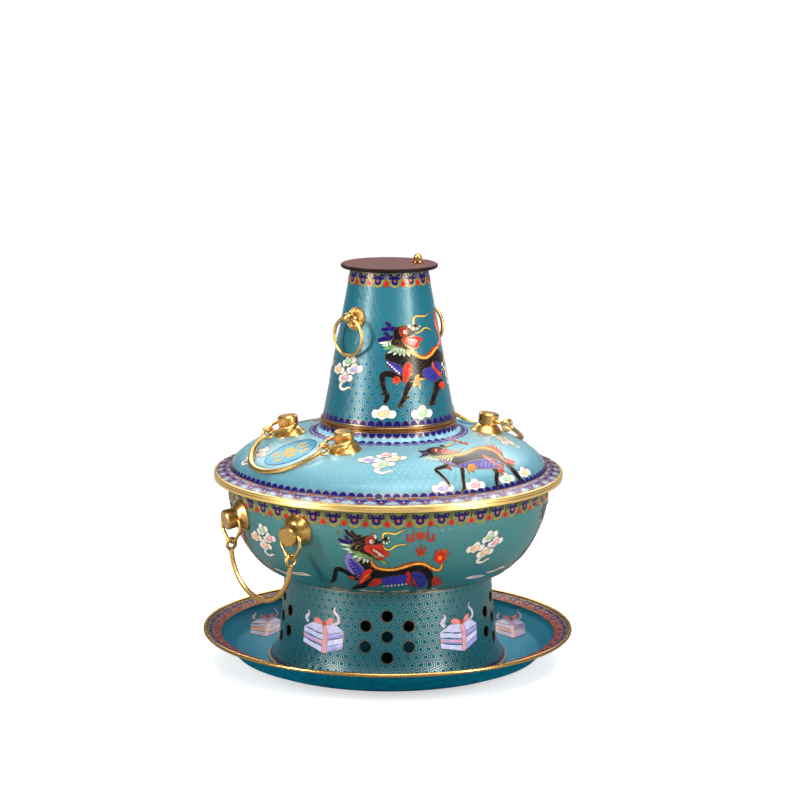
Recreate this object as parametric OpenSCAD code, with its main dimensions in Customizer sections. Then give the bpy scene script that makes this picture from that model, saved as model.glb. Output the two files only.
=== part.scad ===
// Chimney hot pot on its drip tray, with a lift-off lid, a lift-off flue cone, a swivel
// damper plate, four drop bails on paired studs and links, and two ring pulls on the cone.
// All lengths are in mm. Z is up, the table is z = 0 and the front is toward -Y.

/* [Tray] */
// Height of the tray rim above the table
tray_h = 35; // [30:1:42]
// Width of the sloping band just inside the rim
tray_band_w = 15; // [10:1:18]
// Fall of that band toward the middle
tray_band_fall = 3.5; // [2:0.5:6]
// Width of the side wall, from the band in to the dished floor
tray_wall_w = 15.1; // [10:0.1:20]
// Width of the dished floor, from the side wall in to the flat floor
tray_dish_w = 25; // [15:1:35]
// Height of the dished floor's outer edge above the flat floor
tray_dish_rise = 9; // [6:0.5:12]
// Room between the stove's foot and the edge of the flat floor
tray_floor_play = 6.6; // [2:0.1:12]
// Height of the flat floor above the table
tray_floor_z = 4; // [3:0.5:8]
// Sheet thickness of the tray
tray_t = 1.6; // [1.2:0.1:2.4]
// Radius of the rolled rim
tray_bead_r = 1.9; // [1.5:0.1:2.5]
// Outer radius of the foot ring under the tray
tray_foot_r = 104; // [80:1:118]
// Width of the foot ring
tray_foot_w = 4; // [2:0.5:8]

/* [Stove base] */
// Radius of the base where it meets the bowl
base_top_r = 101; // [90:1:106]
// Growth of the radius per mm of height, going down
base_taper = 0.075; // [0:0.005:0.12]
// Extra radius of the flared foot
base_flare = 12; // [4:0.5:14]
// Height over which the foot flares
base_flare_h = 9; // [5:0.5:14]
// Height of the rolled ring at the foot
base_foot_h = 3; // [2:0.5:6]
// Sheet thickness of the base and the bowl
pot_t = 1.6; // [1.2:0.1:2.4]
// Diameter of one vent hole
vent_d = 10.8; // [6:0.2:13]
// Vertical step between the holes of a group
vent_pitch = 19.8; // [16:0.2:24]
// Sideways distance of the outer holes from the group's middle
vent_side = 20.6; // [16:0.2:26]
// Height of a group's middle hole
vent_mid_z = 49.5; // [44:0.5:60]
// Turn from the front group to the two side groups, in degrees
vent_side_az = 77; // [60:1:90]
// Turn from the front group to the two rear groups, in degrees
vent_rear_az = 146; // [130:1:155]

/* [Bowl] */
// Height of the bowl's underside
bowl_z = 92; // [80:1:110]
// Largest radius of the bowl's side
bowl_side_r = 155.5; // [140:0.5:165]
// Height of the rounded side above the underside
bowl_side_h = 82; // [60:1:100]
// Fullness of the bowl's curve, 2 is an ellipse
bowl_fullness = 1.8; // [1.5:0.05:2.4]
// Outward flare of the mouth
bowl_flare = 8; // [4:0.5:10]
// Height of the flare
bowl_flare_h = 10.5; // [6:0.5:16]
// Reach of the bowl's rim beyond the flared mouth
bowl_rim_w = 6; // [3:0.5:12]
// Thickness of the rim ring
rim_h = 3; // [2:0.5:5]

/* [Fire tube] */
// Outer radius of the fire tube at its lower end
tube_bottom_r = 77; // [60:1:84]
// Outer radius of the fire tube at its top
tube_top_r = 59; // [50:1:60]
// Height of the tube's lower end
tube_bottom_z = 52; // [46:1:70]
// Room between the tube's top and the chimney's spigot above it
tube_top_gap = 2; // [1:0.5:8]
// Wall of the fire tube
tube_t = 1.8; // [1.2:0.1:3]
// Width of the ledge that carries the grate
ledge_w = 7; // [4:0.5:12]
// Thickness of the ledge
ledge_t = 2; // [1.5:0.5:4]
// Thickness of the charcoal grate
grate_t = 4; // [3:0.5:6]
// Width of one grate slot
grate_slot = 7; // [4:0.5:10]
// Distance from slot to slot
grate_pitch = 14; // [11:0.5:18]
// Room all round the grate
grate_play = 0.5; // [0.3:0.1:2]

/* [Lid] */
// Distance of the dome's foot inside the bowl's side
dome_inset = 1; // [0:0.5:4]
// Height of the dome's foot above the lid's seat
dome_foot_h = 7; // [5:0.5:10]
// Radius of the shoulder of the dome
shoulder_r = 132; // [120:1:140]
// Height of the shoulder above the seat
shoulder_h = 27.5; // [22:0.5:34]
// Radius of the crown of the dome
crown_r = 97; // [90:1:108]
// Height of the crown above the seat
crown_h = 39.2; // [34:0.2:48]
// Radius of the collar round the neck
collar_r = 74; // [70:0.5:82]
// Height of the collar above the seat
collar_h = 42; // [38:0.5:50]
// Outer radius of the neck
neck_r = 66; // [64:0.5:72]
// Height of the neck's top above the seat
neck_h = 51; // [46:0.5:60]
// Rise of the lid's edge above the seat, at the top of the sloping band
lid_edge_h = 3; // [2:0.5:5]
// Sheet thickness of the lid
lid_t = 1.5; // [1:0.1:2.2]
// Depth of the locating ring below the seat
skirt_depth = 11; // [5:0.5:16]
// Room between the locating ring and the bowl
skirt_play = 1.5; // [0.5:0.1:3]

/* [Chimney] */
// Outer radius of the cone at its top
chim_top_r = 37; // [34:0.5:44]
// Outer radius of the cone at its bottom
chim_bottom_r = 64; // [60:0.5:68]
// Height of the cone with its base ring
chim_h = 150.5; // [120:1:180]
// Sheet thickness of the cone
chim_t = 1.5; // [1:0.1:2.5]
// Height of the double bead at the cone's foot
bead_h = 5; // [3:0.5:8]
// Extra radius of the double bead
bead_out = 1.9; // [1:0.1:3]
// Depth of the spigot that drops into the lid's neck
spigot_h = 8; // [5:0.5:14]
// Room round the spigot
spigot_play = 0.5; // [0.3:0.1:1.5]

/* [Damper] */
// Radius of the damper plate
damper_r = 46.7; // [44:0.5:56]
// Thickness of the damper plate
damper_t = 3.6; // [2:0.2:5]
// Distance of the pivot from the flue's axis
pivot_r = 28.5; // [24:0.5:29]
// Turn of the pivot from the front, in degrees
pivot_az = 106; // [0:1:359]
// Diameter of the pivot pin
pivot_d = 5; // [4:0.5:6]
// Radial running clearance of the plate on its pin
pivot_play = 0.08; // [0.05:0.01:0.1]
// Radius of the lug round the pin
lug_r = 5; // [4:0.5:6]
// Thickness of the lug
lug_t = 5; // [3:0.5:8]
// Height of the domed nut
nut_h = 8.5; // [8:0.5:12]
// Radius of the domed nut
nut_r = 4.4; // [3.5:0.1:5]

/* [Studs and links] */
// Radius of a stud's flared foot
stud_foot_r = 15.5; // [12:0.5:16]
// Radius of a stud's knob
stud_knob_r = 9.5; // [7:0.5:10]
// Height of a stud
stud_h = 18.5; // [17:0.5:24]
// Height of the cross hole above the foot
stud_hole_h = 11.5; // [11.5:0.5:13]
// Radius of the link's wire
wire_r = 1.6; // [1.2:0.1:1.8]
// Room between the wire and what it passes through
wire_play = 0.3; // [0.3:0.05:0.6]
// Half width of a link at the cross hole
link_half_w = 13.5; // [13:0.5:16]
// Distance from the cross hole to the link's lower bar
link_l = 23; // [19:0.5:26]
// Length of the straight flanks of a link
link_flank = 11; // [9:0.5:13]
// Half length of a link's lower bar
link_tip = 4; // [3:0.5:5]

/* [Bails] */
// Ring radius of a bail's eye, to the middle of its wire
eye_r = 5.1; // [4.5:0.1:6]
// Radius of the eye's wire
eye_wire_r = 1.7; // [1.4:0.1:1.8]
// Width of the bow in its own plane
bow_w = 5.8; // [4:0.2:7]
// Thickness of the bow across its plane
bow_t = 4; // [3:0.2:5]
// Depth of the pot's bow below its eyes
pot_bow = 46; // [40:0.5:56]
// Depth of the lid's bow beyond its eyes
lid_bow = 47; // [40:0.5:54]
// Turn of the pot's first bail from the front, in degrees
pot_bail_az = -48.75; // [-180:0.25:180]
// Half angle between the two studs of a pot bail
pot_half_az = 15.75; // [13:0.25:19]
// Distance of the pot's studs below the flare of the mouth
pot_stud_drop = 15.5; // [15.5:0.5:24]
// Turn of the lid's first bail from the front, in degrees
lid_bail_az = -54.75; // [-180:0.25:180]
// Half angle between the two studs of a lid bail
lid_half_az = 29.75; // [26:0.25:33]
// Radius at which the lid's studs stand
lid_stud_r = 96; // [93:0.5:104]
// Fall of a lid link below level where it rests, in degrees
lid_link_rest = 18; // [10:1:18]

/* [Ring pulls] */
// Turn of the first pull from the front, in degrees
pull_az = -43.5; // [-180:0.5:180]
// Height of the pulls above the cone's foot
pull_z = 100; // [60:0.5:125]
// Radius of the rosette plate
rosette_r = 11; // [8:0.5:14]
// Distance of the ring's eye from the cone
pull_reach = 11; // [9.5:0.5:15]
// Radius of the ball that holds the ring
ball_r = 5; // [4.2:0.1:6]
// Ring radius to the middle of its wire
pull_ring_r = 18.3; // [14:0.1:22]
// Radius of the ring's wire
pull_wire_r = 1.65; // [1.2:0.05:2]

/* [Hidden] */
$fn = 64;

bowl_rim_r = bowl_side_r + bowl_flare + bowl_rim_w;
dome_r = bowl_side_r - dome_inset;
seat_z = bowl_z + bowl_side_h + bowl_flare_h + rim_h;
cone_z = seat_z + neck_h;
chim_z = cone_z + chim_h;
tube_top_z = cone_z - spigot_h - tube_top_gap;
cone_foot_z = cone_z + bead_h;
cone_top_h = chim_h - bead_h;
cone_tilt = atan((chim_bottom_r - chim_top_r) / cone_top_h);
eye_drop = eye_r - eye_wire_r - wire_r - wire_play;
link_round = 4;
bar_lap = 0.25;
bend_swell = 0.05;
big = 400;

// ---- curves ----
function cr(a, b, c, d, t) = 0.5 * (2 * b + (c - a) * t + (2 * a - 5 * b + 4 * c - d) * t * t
    + (3 * b - a - 3 * c + d) * t * t * t);
function smooth(p, n = 3) = [for (i = [0:len(p) - 2]) for (k = [0:n - 1])
    cr(p[max(i - 1, 0)], p[i], p[i + 1], p[min(i + 2, len(p) - 1)], k / n), p[len(p) - 1]];
function unit(v) = v / norm(v);
function side(p, i) = let (d = unit(p[min(i + 1, len(p) - 1)] - p[max(i - 1, 0)])) [-d[1], d[0]];
function sheet(p, t) = concat(p, [for (i = [len(p) - 1:-1:0]) p[i] + t * side(p, i)]);
function flip(p) = [for (i = [len(p) - 1:-1:0]) p[i]];
function radius_at(p, z) = lookup(z, [for (q = p) [q[1], q[0]]]);
function height_at(p, r) = lookup(r, p);
function oval(a, b, n = 12) = [for (i = [0:n - 1]) [a * cos(360 * i / n), b * sin(360 * i / n)]];
function base_r(z) = base_top_r + base_taper * (bowl_z - z)
    + base_flare * exp(-(z - tray_floor_z) / base_flare_h);
base_foot_out = 1.4;
base_foot_z = tray_floor_z + base_foot_h;
tray_floor_r = base_r(base_foot_z) + base_foot_out + tray_floor_play;
tray_dish_r = tray_floor_r + tray_dish_w;
tray_rim_r = tray_dish_r + tray_wall_w + tray_band_w + tray_bead_r;
function full(s) = pow(1 - pow(1 - s, bowl_fullness), 1 / bowl_fullness);
function tube_r(z) = tube_bottom_r
    + (tube_top_r - tube_bottom_r) * (z - tube_bottom_z) / (tube_top_z - tube_bottom_z);
function cone_r(z) = chim_bottom_r
    + (chim_top_r - chim_bottom_r) * (z - cone_foot_z) / cone_top_h;

// Outer face of the bowl from its underside up to the mouth
bowl_belly = [for (s = [0, 0.02, 0.06, 0.14, 0.25, 0.38, 0.52, 0.68, 0.84, 1])
    [base_top_r + (bowl_side_r - base_top_r) * full(s), bowl_z + bowl_side_h * s]];
bowl_mouth = [for (a = [22.5:22.5:90])
    [bowl_side_r + bowl_flare * (1 - cos(a)), bowl_z + bowl_side_h + bowl_flare_h * sin(a)]];
bowl_face = concat(bowl_belly, bowl_mouth);
// Outer face of the lid's dome from the neck out to the dome's foot
dome_face = smooth([[neck_r, seat_z + neck_h], [neck_r + 1.6, seat_z + neck_h - 5],
    [collar_r, seat_z + collar_h], [crown_r, seat_z + crown_h],
    [(crown_r + shoulder_r) / 2, seat_z + (crown_h + shoulder_h) / 2 + 2.2],
    [shoulder_r, seat_z + shoulder_h],
    [(shoulder_r + dome_r) / 2 + 3, seat_z + (shoulder_h + dome_foot_h) / 2 + 0.8],
    [dome_r, seat_z + dome_foot_h]], 3);

module lathe(p) {
    rotate_extrude($fn = 128) polygon(p);
}

module lathe_ring(r1, r2, z1, z2, round = 0.6) {
    lathe([[r1, z1], [r2 - round, z1], [r2, z1 + round], [r2, z2 - round],
        [r2 - round, z2], [r1, z2]]);
}

// ---- tray ----
module tray() {
    band_r = tray_rim_r - tray_bead_r - tray_band_w;
    band_z = tray_h - tray_bead_r - tray_band_fall;
    dish_z = tray_floor_z + tray_dish_rise;
    well = smooth([[tray_dish_r, dish_z], [(tray_dish_r + band_r) / 2, (dish_z + band_z) / 2 - 1],
        [band_r - 2.5, band_z - 4], [band_r, band_z]], 3);
    dish = smooth([[tray_floor_r, tray_floor_z],
        [(tray_floor_r + tray_dish_r) / 2, tray_floor_z + tray_dish_rise * 0.36],
        [tray_dish_r, dish_z]], 3);
    face = concat([[0, tray_floor_z]], dish, [for (i = [1:len(well) - 1]) well[i]],
        [[tray_rim_r - tray_bead_r, tray_h - tray_bead_r]]);
    color([0.1, 0.45, 0.5]) {
        lathe(concat(face, [for (q = flip(face)) [q[0], q[1] - tray_t
            * (q[0] > tray_dish_r && q[0] < band_r ? 1.5 : 1)]]));
        rotate_extrude($fn = 128)
            translate([tray_foot_r - tray_foot_w, 0]) square([tray_foot_w, tray_floor_z]);
    }
    color([0.85, 0.65, 0.3])
        rotate_extrude($fn = 128)
            translate([tray_rim_r - tray_bead_r, tray_h - tray_bead_r]) circle(tray_bead_r, $fn = 32);
}

// ---- stove base with its vent holes ----
module vent_group(az) {
    side_az = asin(vent_side / base_r(vent_mid_z));
    for (p = [[0, -1], [0, 0], [0, 1], [-1, -0.5], [-1, 0.5], [1, -0.5], [1, 0.5]])
        rotate([0, 0, az + p[0] * side_az])
            translate([0, -base_r(vent_mid_z) - 10, vent_mid_z + p[1] * vent_pitch])
                rotate([-90, 0, 0]) cylinder(h = 22, r = vent_d / 2);
}

module stove_base() {
    low = base_foot_z;
    face = [for (z = [bowl_z, vent_mid_z + 1.3 * vent_pitch, vent_mid_z - 1.3 * vent_pitch,
        low + 12, low + 7, low + 3.5, low + 1.5, low]) [base_r(z), z]];
    color([0.1, 0.45, 0.5])
        difference() {
            lathe(concat(face, [for (q = flip(face)) [q[0] - pot_t, q[1]]]));
            for (az = [0, vent_side_az, vent_rear_az, -vent_rear_az, -vent_side_az]) vent_group(az);
        }
    color([0.8, 0.6, 0.3])
        lathe_ring(base_r(low) - pot_t, base_r(low) + base_foot_out, tray_floor_z, low, 0.9);
}

// ---- bowl ----
module bowl() {
    top = seat_z - rim_h;
    color([0.12, 0.5, 0.52])
        difference() {
            lathe(concat([[tube_bottom_r - 8, bowl_z]], bowl_face,
                [[bowl_rim_r, top], [bowl_rim_r, top + pot_t]],
                flip([for (i = [0:len(bowl_face) - 1]) bowl_face[i] + pot_t * side(bowl_face, i)
                    + (i == 0 ? [-pot_t, 0] : [0, 0])]),
                [[tube_bottom_r - 8, bowl_z + pot_t]]));
            translate([0, 0, tube_bottom_z])
                cylinder(h = tube_top_z - tube_bottom_z, r1 = tube_bottom_r, r2 = tube_top_r);
        }
    color([0.85, 0.65, 0.3])
        lathe_ring(bowl_side_r + bowl_flare - 2, bowl_rim_r, top, seat_z, 0.8);
}

// ---- fire tube and grate ----
module fire_tube() {
    color([0.6, 0.45, 0.3])
        lathe([[tube_r(tube_bottom_z) - tube_t - ledge_w, tube_bottom_z],
            [tube_r(tube_bottom_z), tube_bottom_z], [tube_top_r, tube_top_z],
            [tube_top_r - tube_t, tube_top_z],
            [tube_r(tube_bottom_z + ledge_t) - tube_t, tube_bottom_z + ledge_t],
            [tube_r(tube_bottom_z) - tube_t - ledge_w, tube_bottom_z + ledge_t]]);
}

module charcoal_grate() {
    z0 = tube_bottom_z + ledge_t;
    r = tube_r(z0 + grate_t) - tube_t - grate_play;
    slots = floor((r - ledge_w) / grate_pitch);
    color([0.2, 0.2, 0.2])
        difference() {
            translate([0, 0, z0]) cylinder(h = grate_t, r = r);
            for (i = [-slots:slots]) {
                half = sqrt(pow(r - ledge_w, 2) - pow(i * grate_pitch, 2)) - grate_slot / 2;
                translate([i * grate_pitch - grate_slot / 2, -half, z0 - 1])
                    cube([grate_slot, 2 * half, grate_t + 2]);
            }
        }
}

// ---- studs: a bell foot, a neck and a flat-ended knob, drilled along the bail's chord ----
module stud_form() {
    neck = stud_hole_h - wire_r - 2.6;
    bell = smooth([[stud_foot_r - 0.6, 1.2], [stud_foot_r - 3.2, 2.6],
        [(stud_foot_r + stud_knob_r) / 2 - 0.6, neck * 0.62], [stud_knob_r - 0.9, neck]], 3);
    lathe(concat([[0, -4], [stud_foot_r, -4], [stud_foot_r, 0.7]], bell,
        [[stud_knob_r - 0.9, neck + 0.5], [stud_knob_r, neck + 1.3],
        [stud_knob_r + 0.3, stud_h - 1.4], [stud_knob_r - 0.9, stud_h], [0, stud_h]]));
}

// Middle of a stud's cross hole for a bail that faces the front
function hole_at(r, z, tilt, half, s) = [s * (r + stud_hole_h * sin(tilt)) * sin(half),
    -(r + stud_hole_h * sin(tilt)) * cos(half), z + stud_hole_h * cos(tilt)];

module stud(r, z, tilt, half, s) {
    difference() {
        rotate([0, 0, s * half]) translate([0, -r, z]) rotate([tilt, 0, 0]) stud_form();
        translate(hole_at(r, z, tilt, half, s)) rotate([0, 90, 0])
            cylinder(h = 4 * stud_knob_r, r = wire_r + wire_play, center = true, $fn = 32);
    }
}

// ---- wire link: a bar through the stud, two flanks and a short lower bar ----
module bar(a, b) {
    d = b - a;
    translate([a[0], 0, a[1]]) rotate([0, atan2(d[0], d[1]), 0]) translate([0, 0, -bar_lap])
        cylinder(h = norm(d) + 2 * bar_lap, r = wire_r, $fn = 32);
}

module bend(a, p, b, r) {
    u = unit(a - p);
    v = unit(b - p);
    half = acos(u * v) / 2;
    c = p + unit(u + v) * r / sin(half);
    from = atan2((u * r / tan(half) + p - c)[1], (u * r / tan(half) + p - c)[0]);
    to = atan2((v * r / tan(half) + p - c)[1], (v * r / tan(half) + p - c)[0]);
    turn = (to - from + 540) % 360 - 180;
    translate([c[0], 0, c[1]]) rotate([90, 0, 0])
        rotate([0, 0, turn > 0 ? from : to])
            rotate_extrude(angle = abs(turn), $fn = 48) translate([r, 0])
                circle(wire_r + bend_swell, $fn = 32);
}

module wire_loop(p, r) {
    n = len(p);
    for (i = [0:n - 1]) {
        a = p[(i + n - 1) % n];
        b = p[(i + 1) % n];
        c = p[(i + 2) % n];
        bend(a, p[i], b, r[i]);
        here = r[i] / tan(acos(unit(a - p[i]) * unit(b - p[i])) / 2);
        next = r[(i + 1) % n] / tan(acos(unit(p[i] - b) * unit(c - b)) / 2);
        bar(p[i] + unit(b - p[i]) * here, b - unit(b - p[i]) * next);
    }
}

module link() {
    color([0.85, 0.65, 0.3])
        wire_loop([[-link_half_w, 0], [link_half_w, 0], [link_half_w, -link_flank],
            [link_tip, -link_l], [-link_tip, -link_l], [-link_half_w, -link_flank]],
            [link_round, link_round, link_round + 1, link_round - 1.5, link_round - 1.5,
            link_round + 1]);
}

// ---- bail: a bow with a ring eye at each end, hung from the links' lower bars ----
module bail(half, depth) {
    rise = depth - eye_r;
    r = (half * half + rise * rise) / (2 * rise);
    mid = r - rise - eye_drop - eye_r;
    open = asin((r - rise) / r);
    color([0.85, 0.65, 0.3]) {
        translate([0, 0, mid]) rotate([90, 0, 0]) rotate([0, 0, 180 + open])
            rotate_extrude(angle = 180 - 2 * open, $fn = 96)
                translate([r, 0]) polygon(oval(bow_w / 2, bow_t / 2));
        for (s = [-1, 1]) translate([s * half, 0, -eye_drop]) {
            rotate([0, 90, 0]) rotate_extrude($fn = 48) translate([eye_r, 0])
                circle(eye_wire_r, $fn = 32);
            translate([0, 0, -eye_r - 0.6]) sphere(bow_w / 2 - 0.4, $fn = 32);
        }
    }
}

// ---- the pot's two bails ----
pot_stud_z = bowl_z + bowl_side_h - pot_stud_drop;
pot_stud_r = radius_at(bowl_face, pot_stud_z);
pot_tilt = 90 + atan((radius_at(bowl_face, pot_stud_z + 5) - radius_at(bowl_face, pot_stud_z - 5)) / 10);
pot_hole = hole_at(pot_stud_r, pot_stud_z, pot_tilt, pot_half_az, 1);

module pot_stud(i) {
    color([0.85, 0.65, 0.3])
        difference() {
            rotate([0, 0, pot_bail_az + (i > 2 ? 180 : 0)])
                stud(pot_stud_r, pot_stud_z, pot_tilt, pot_half_az, i % 2 == 1 ? 1 : -1);
            lathe(concat([[0, bowl_z]], bowl_face, [[0, bowl_face[len(bowl_face) - 1][1]]]));
        }
}

module pot_link(i) {
    rotate([0, 0, pot_bail_az + (i > 2 ? 180 : 0)])
        translate([(i % 2 == 1 ? 1 : -1) * pot_hole[0], pot_hole[1], pot_hole[2]]) link();
}

module pot_bail(i) {
    rotate([0, 0, pot_bail_az + (i > 1 ? 180 : 0)])
        translate([0, pot_hole[1], pot_hole[2] - link_l]) bail(pot_hole[0], pot_bow);
}

// ---- lid ----
module lid() {
    edge = seat_z + lid_edge_h;
    n = len(dome_face) - 1;
    under = [for (i = [0:n]) dome_face[i] + [i > n - 2 ? -lid_t * 0.9 : -lid_t * side(dome_face, i)[0],
        -lid_t * side(dome_face, i)[1]]];
    skirt_r = bowl_side_r - pot_t - skirt_play;
    color([0.2, 0.6, 0.68]) {
        lathe(concat(dome_face, [[bowl_rim_r, edge], [bowl_rim_r, edge - lid_t],
            [dome_r, seat_z + dome_foot_h - lid_t]], flip(under)));
        lathe([[skirt_r - lid_t, seat_z - skirt_depth], [skirt_r, seat_z - skirt_depth],
            [skirt_r, height_at(dome_face, skirt_r) - lid_t / 2],
            [skirt_r - lid_t, height_at(dome_face, skirt_r - lid_t) - lid_t / 2]]);
    }
    color([0.85, 0.65, 0.3])
        lathe_ring(bowl_rim_r - 2.2, bowl_rim_r, seat_z, edge, 0.8);
}

lid_stud_z = height_at(dome_face, lid_stud_r);
lid_tilt = atan((height_at(dome_face, lid_stud_r - 5) - height_at(dome_face, lid_stud_r + 5)) / 10);
lid_hole = hole_at(lid_stud_r, lid_stud_z, lid_tilt, lid_half_az, 1);
lid_pin_y = lid_hole[1] - link_l * cos(lid_link_rest);
lid_pin_z = lid_hole[2] - link_l * sin(lid_link_rest);
lid_bow_rise = lid_bow - eye_r;
lid_bow_r = (pow(lid_hole[0], 2) + pow(lid_bow_rise, 2)) / (2 * lid_bow_rise);
// Least gap between the lid's bow and the dome when the bow lies a degrees below level
function bow_gap(a) = min([for (t = [20:10:160]) let (
    reach = eye_drop + lid_bow - lid_bow_r + lid_bow_r * sin(t),
    y = lid_pin_y - reach * cos(a), z = lid_pin_z - reach * sin(a),
    r = norm([lid_bow_r * cos(t), y]))
    reach > eye_r + eye_drop ? (z - height_at(dome_face, r)) * cos(34) - bow_t / 2 : big]);
function settle(a) = bow_gap(a) > 0.4 ? a : settle(a - 0.25);
lid_bail_rest = settle(45);

module lid_stud(i) {
    color([0.85, 0.65, 0.3])
        difference() {
            rotate([0, 0, lid_bail_az + (i > 2 ? 180 : 0)])
                stud(lid_stud_r, lid_stud_z, lid_tilt, lid_half_az, i % 2 == 1 ? 1 : -1);
            lathe(concat([[0, seat_z], [0, seat_z + neck_h]], dome_face, [[dome_r, seat_z]]));
        }
}

module lid_link(i) {
    rotate([0, 0, lid_bail_az + (i > 2 ? 180 : 0)])
        translate([(i % 2 == 1 ? 1 : -1) * lid_hole[0], lid_hole[1], lid_hole[2]])
            rotate([lid_link_rest - 90, 0, 0]) link();
}

module lid_bail(i) {
    rotate([0, 0, lid_bail_az + (i > 1 ? 180 : 0)])
        translate([0, lid_pin_y, lid_pin_z])
            rotate([lid_bail_rest - 90, 0, 0]) bail(lid_hole[0], lid_bow);
}

// ---- flue cone ----
module chimney() {
    lip = 1.6;
    color([0.1, 0.45, 0.52])
        lathe([[chim_bottom_r - chim_t, cone_foot_z], [chim_bottom_r, cone_foot_z],
            [chim_top_r, chim_z - lip], [chim_top_r + 0.7, chim_z - lip + 0.4],
            [chim_top_r + 0.7, chim_z - 0.4], [chim_top_r + 0.2, chim_z],
            [chim_top_r - chim_t, chim_z]]);
}

module chimney_base_ring() {
    inner = neck_r - lid_t - spigot_play - 1.5;
    outer = chim_bottom_r + bead_out;
    mid = cone_z + bead_h / 2;
    color([0.85, 0.65, 0.3])
        lathe([[inner, cone_z - spigot_h], [inner + 1.5, cone_z - spigot_h], [inner + 1.5, cone_z],
            [outer - 0.8, cone_z], [outer, cone_z + 0.7], [outer, mid - 0.7], [outer - 0.9, mid],
            [outer, mid + 0.7], [outer, cone_foot_z - 0.7], [outer - 0.8, cone_foot_z],
            [inner, cone_foot_z]]);
}

// ---- ring pulls: a stepped rosette, a neck and a drilled ball with a loose ring ----
module on_cone(az) {
    rotate([0, 0, az]) translate([0, -cone_r(cone_foot_z + pull_z), cone_foot_z + pull_z])
        rotate([90 - cone_tilt, 0, 0]) children();
}

module pull_boss(i) {
    color([0.85, 0.65, 0.3])
        difference() {
            on_cone(pull_az + (i - 1) * 180) difference() {
                union() {
                    lathe([[0, -3], [rosette_r, -3], [rosette_r, 1.2], [rosette_r - 0.8, 1.8],
                        [rosette_r - 2, 1.5], [rosette_r - 2.8, 2.3], [rosette_r - 4, 2],
                        [rosette_r - 5, 2.8], [rosette_r - 6.4, 2.6], [3, 3.6], [2.4, 5],
                        [2.4, pull_reach], [0, pull_reach]]);
                    translate([0, 0, pull_reach]) sphere(ball_r, $fn = 48);
                }
                translate([0, 0, pull_reach]) rotate([0, 90, 0])
                    cylinder(h = 3 * ball_r, r = pull_wire_r + 1, center = true, $fn = 32);
            }
            translate([0, 0, cone_foot_z])
                cylinder(h = cone_top_h, r1 = chim_bottom_r, r2 = chim_top_r);
        }
}

module pull_ring(i) {
    color([0.85, 0.65, 0.3])
        rotate([0, 0, pull_az + (i - 1) * 180])
            translate([0, -cone_r(cone_foot_z + pull_z) - pull_reach * cos(cone_tilt),
                cone_foot_z + pull_z + pull_reach * sin(cone_tilt) - pull_ring_r])
                rotate([90, 0, 0]) rotate_extrude($fn = 96) translate([pull_ring_r, 0])
                    circle(pull_wire_r, $fn = 32);
}

// ---- swivel damper ----
module at_pivot() {
    rotate([0, 0, pivot_az]) translate([0, -pivot_r, 0]) children();
}

module damper_plate() {
    color([0.58, 0.35, 0.3])
        difference() {
            lathe([[0, chim_z], [damper_r - 1, chim_z], [damper_r, chim_z + 0.9],
                [damper_r, chim_z + damper_t - 0.9], [damper_r - 1, chim_z + damper_t],
                [0, chim_z + damper_t]]);
            at_pivot() translate([0, 0, chim_z - 1])
                cylinder(h = damper_t + 2, r = pivot_d / 2 + pivot_play, $fn = 48);
        }
}

module damper_lug() {
    color([0.8, 0.6, 0.3])
        difference() {
            intersection() {
                union() {
                    at_pivot() translate([0, 0, chim_z - wire_play - lug_t])
                        cylinder(h = lug_t, r = lug_r);
                    at_pivot() translate([-lug_r, -chim_top_r, chim_z - wire_play - lug_t])
                        cube([2 * lug_r, chim_top_r, lug_t]);
                }
                translate([0, 0, cone_foot_z]) cylinder(h = cone_top_h,
                    r1 = chim_bottom_r - chim_t, r2 = chim_top_r - chim_t);
            }
            at_pivot() translate([0, 0, chim_z - big / 2]) cylinder(h = big, r = pivot_d / 2, $fn = 48);
        }
}

module damper_pin() {
    color([0.8, 0.6, 0.3])
        at_pivot() translate([0, 0, chim_z - wire_play - lug_t - 1])
            cylinder(h = lug_t + damper_t + 1 + 2 * wire_play, r = pivot_d / 2, $fn = 48);
}

module damper_nut() {
    low = chim_z + damper_t + wire_play;
    color([0.85, 0.65, 0.3])
        at_pivot() {
            translate([0, 0, low]) cylinder(h = 1.4, r = nut_r + 0.9, $fn = 48);
            translate([0, 0, low + 1.4]) cylinder(h = nut_h * 0.4, r = nut_r, $fn = 6);
            translate([0, 0, low + 1.4 + nut_h * 0.4 - 0.2])
                lathe([[0, 0], [nut_r * 0.86, 0], [nut_r * 0.8, nut_h * 0.2],
                    [nut_r * 0.55, nut_h * 0.36], [nut_r * 0.3, nut_h * 0.44], [0, nut_h * 0.46]]);
        }
}

echo(pot_hole = pot_hole, lid_hole = lid_hole, lid_pin = [lid_pin_y, lid_pin_z],
    lid_bail_rest = lid_bail_rest, seat_z = seat_z, cone_z = cone_z, chim_z = chim_z,
    pot_tilt = pot_tilt, lid_tilt = lid_tilt);

tray();
stove_base();
bowl();
fire_tube();
charcoal_grate();
pot_stud(1);  // pot_stud_1
pot_stud(2);  // pot_stud_2
pot_stud(3);  // pot_stud_3
pot_stud(4);  // pot_stud_4
pot_link(1);  // pot_link_1
pot_link(2);  // pot_link_2
pot_link(3);  // pot_link_3
pot_link(4);  // pot_link_4
pot_bail(1);  // pot_bail_1
pot_bail(2);  // pot_bail_2
lid();
lid_stud(1);  // lid_stud_1
lid_stud(2);  // lid_stud_2
lid_stud(3);  // lid_stud_3
lid_stud(4);  // lid_stud_4
lid_link(1);  // lid_link_1
lid_link(2);  // lid_link_2
lid_link(3);  // lid_link_3
lid_link(4);  // lid_link_4
lid_bail(1);  // lid_bail_1
lid_bail(2);  // lid_bail_2
chimney();
chimney_base_ring();
pull_boss(1);  // pull_boss_1
pull_boss(2);  // pull_boss_2
pull_ring(1);  // pull_ring_1
pull_ring(2);  // pull_ring_2
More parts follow.
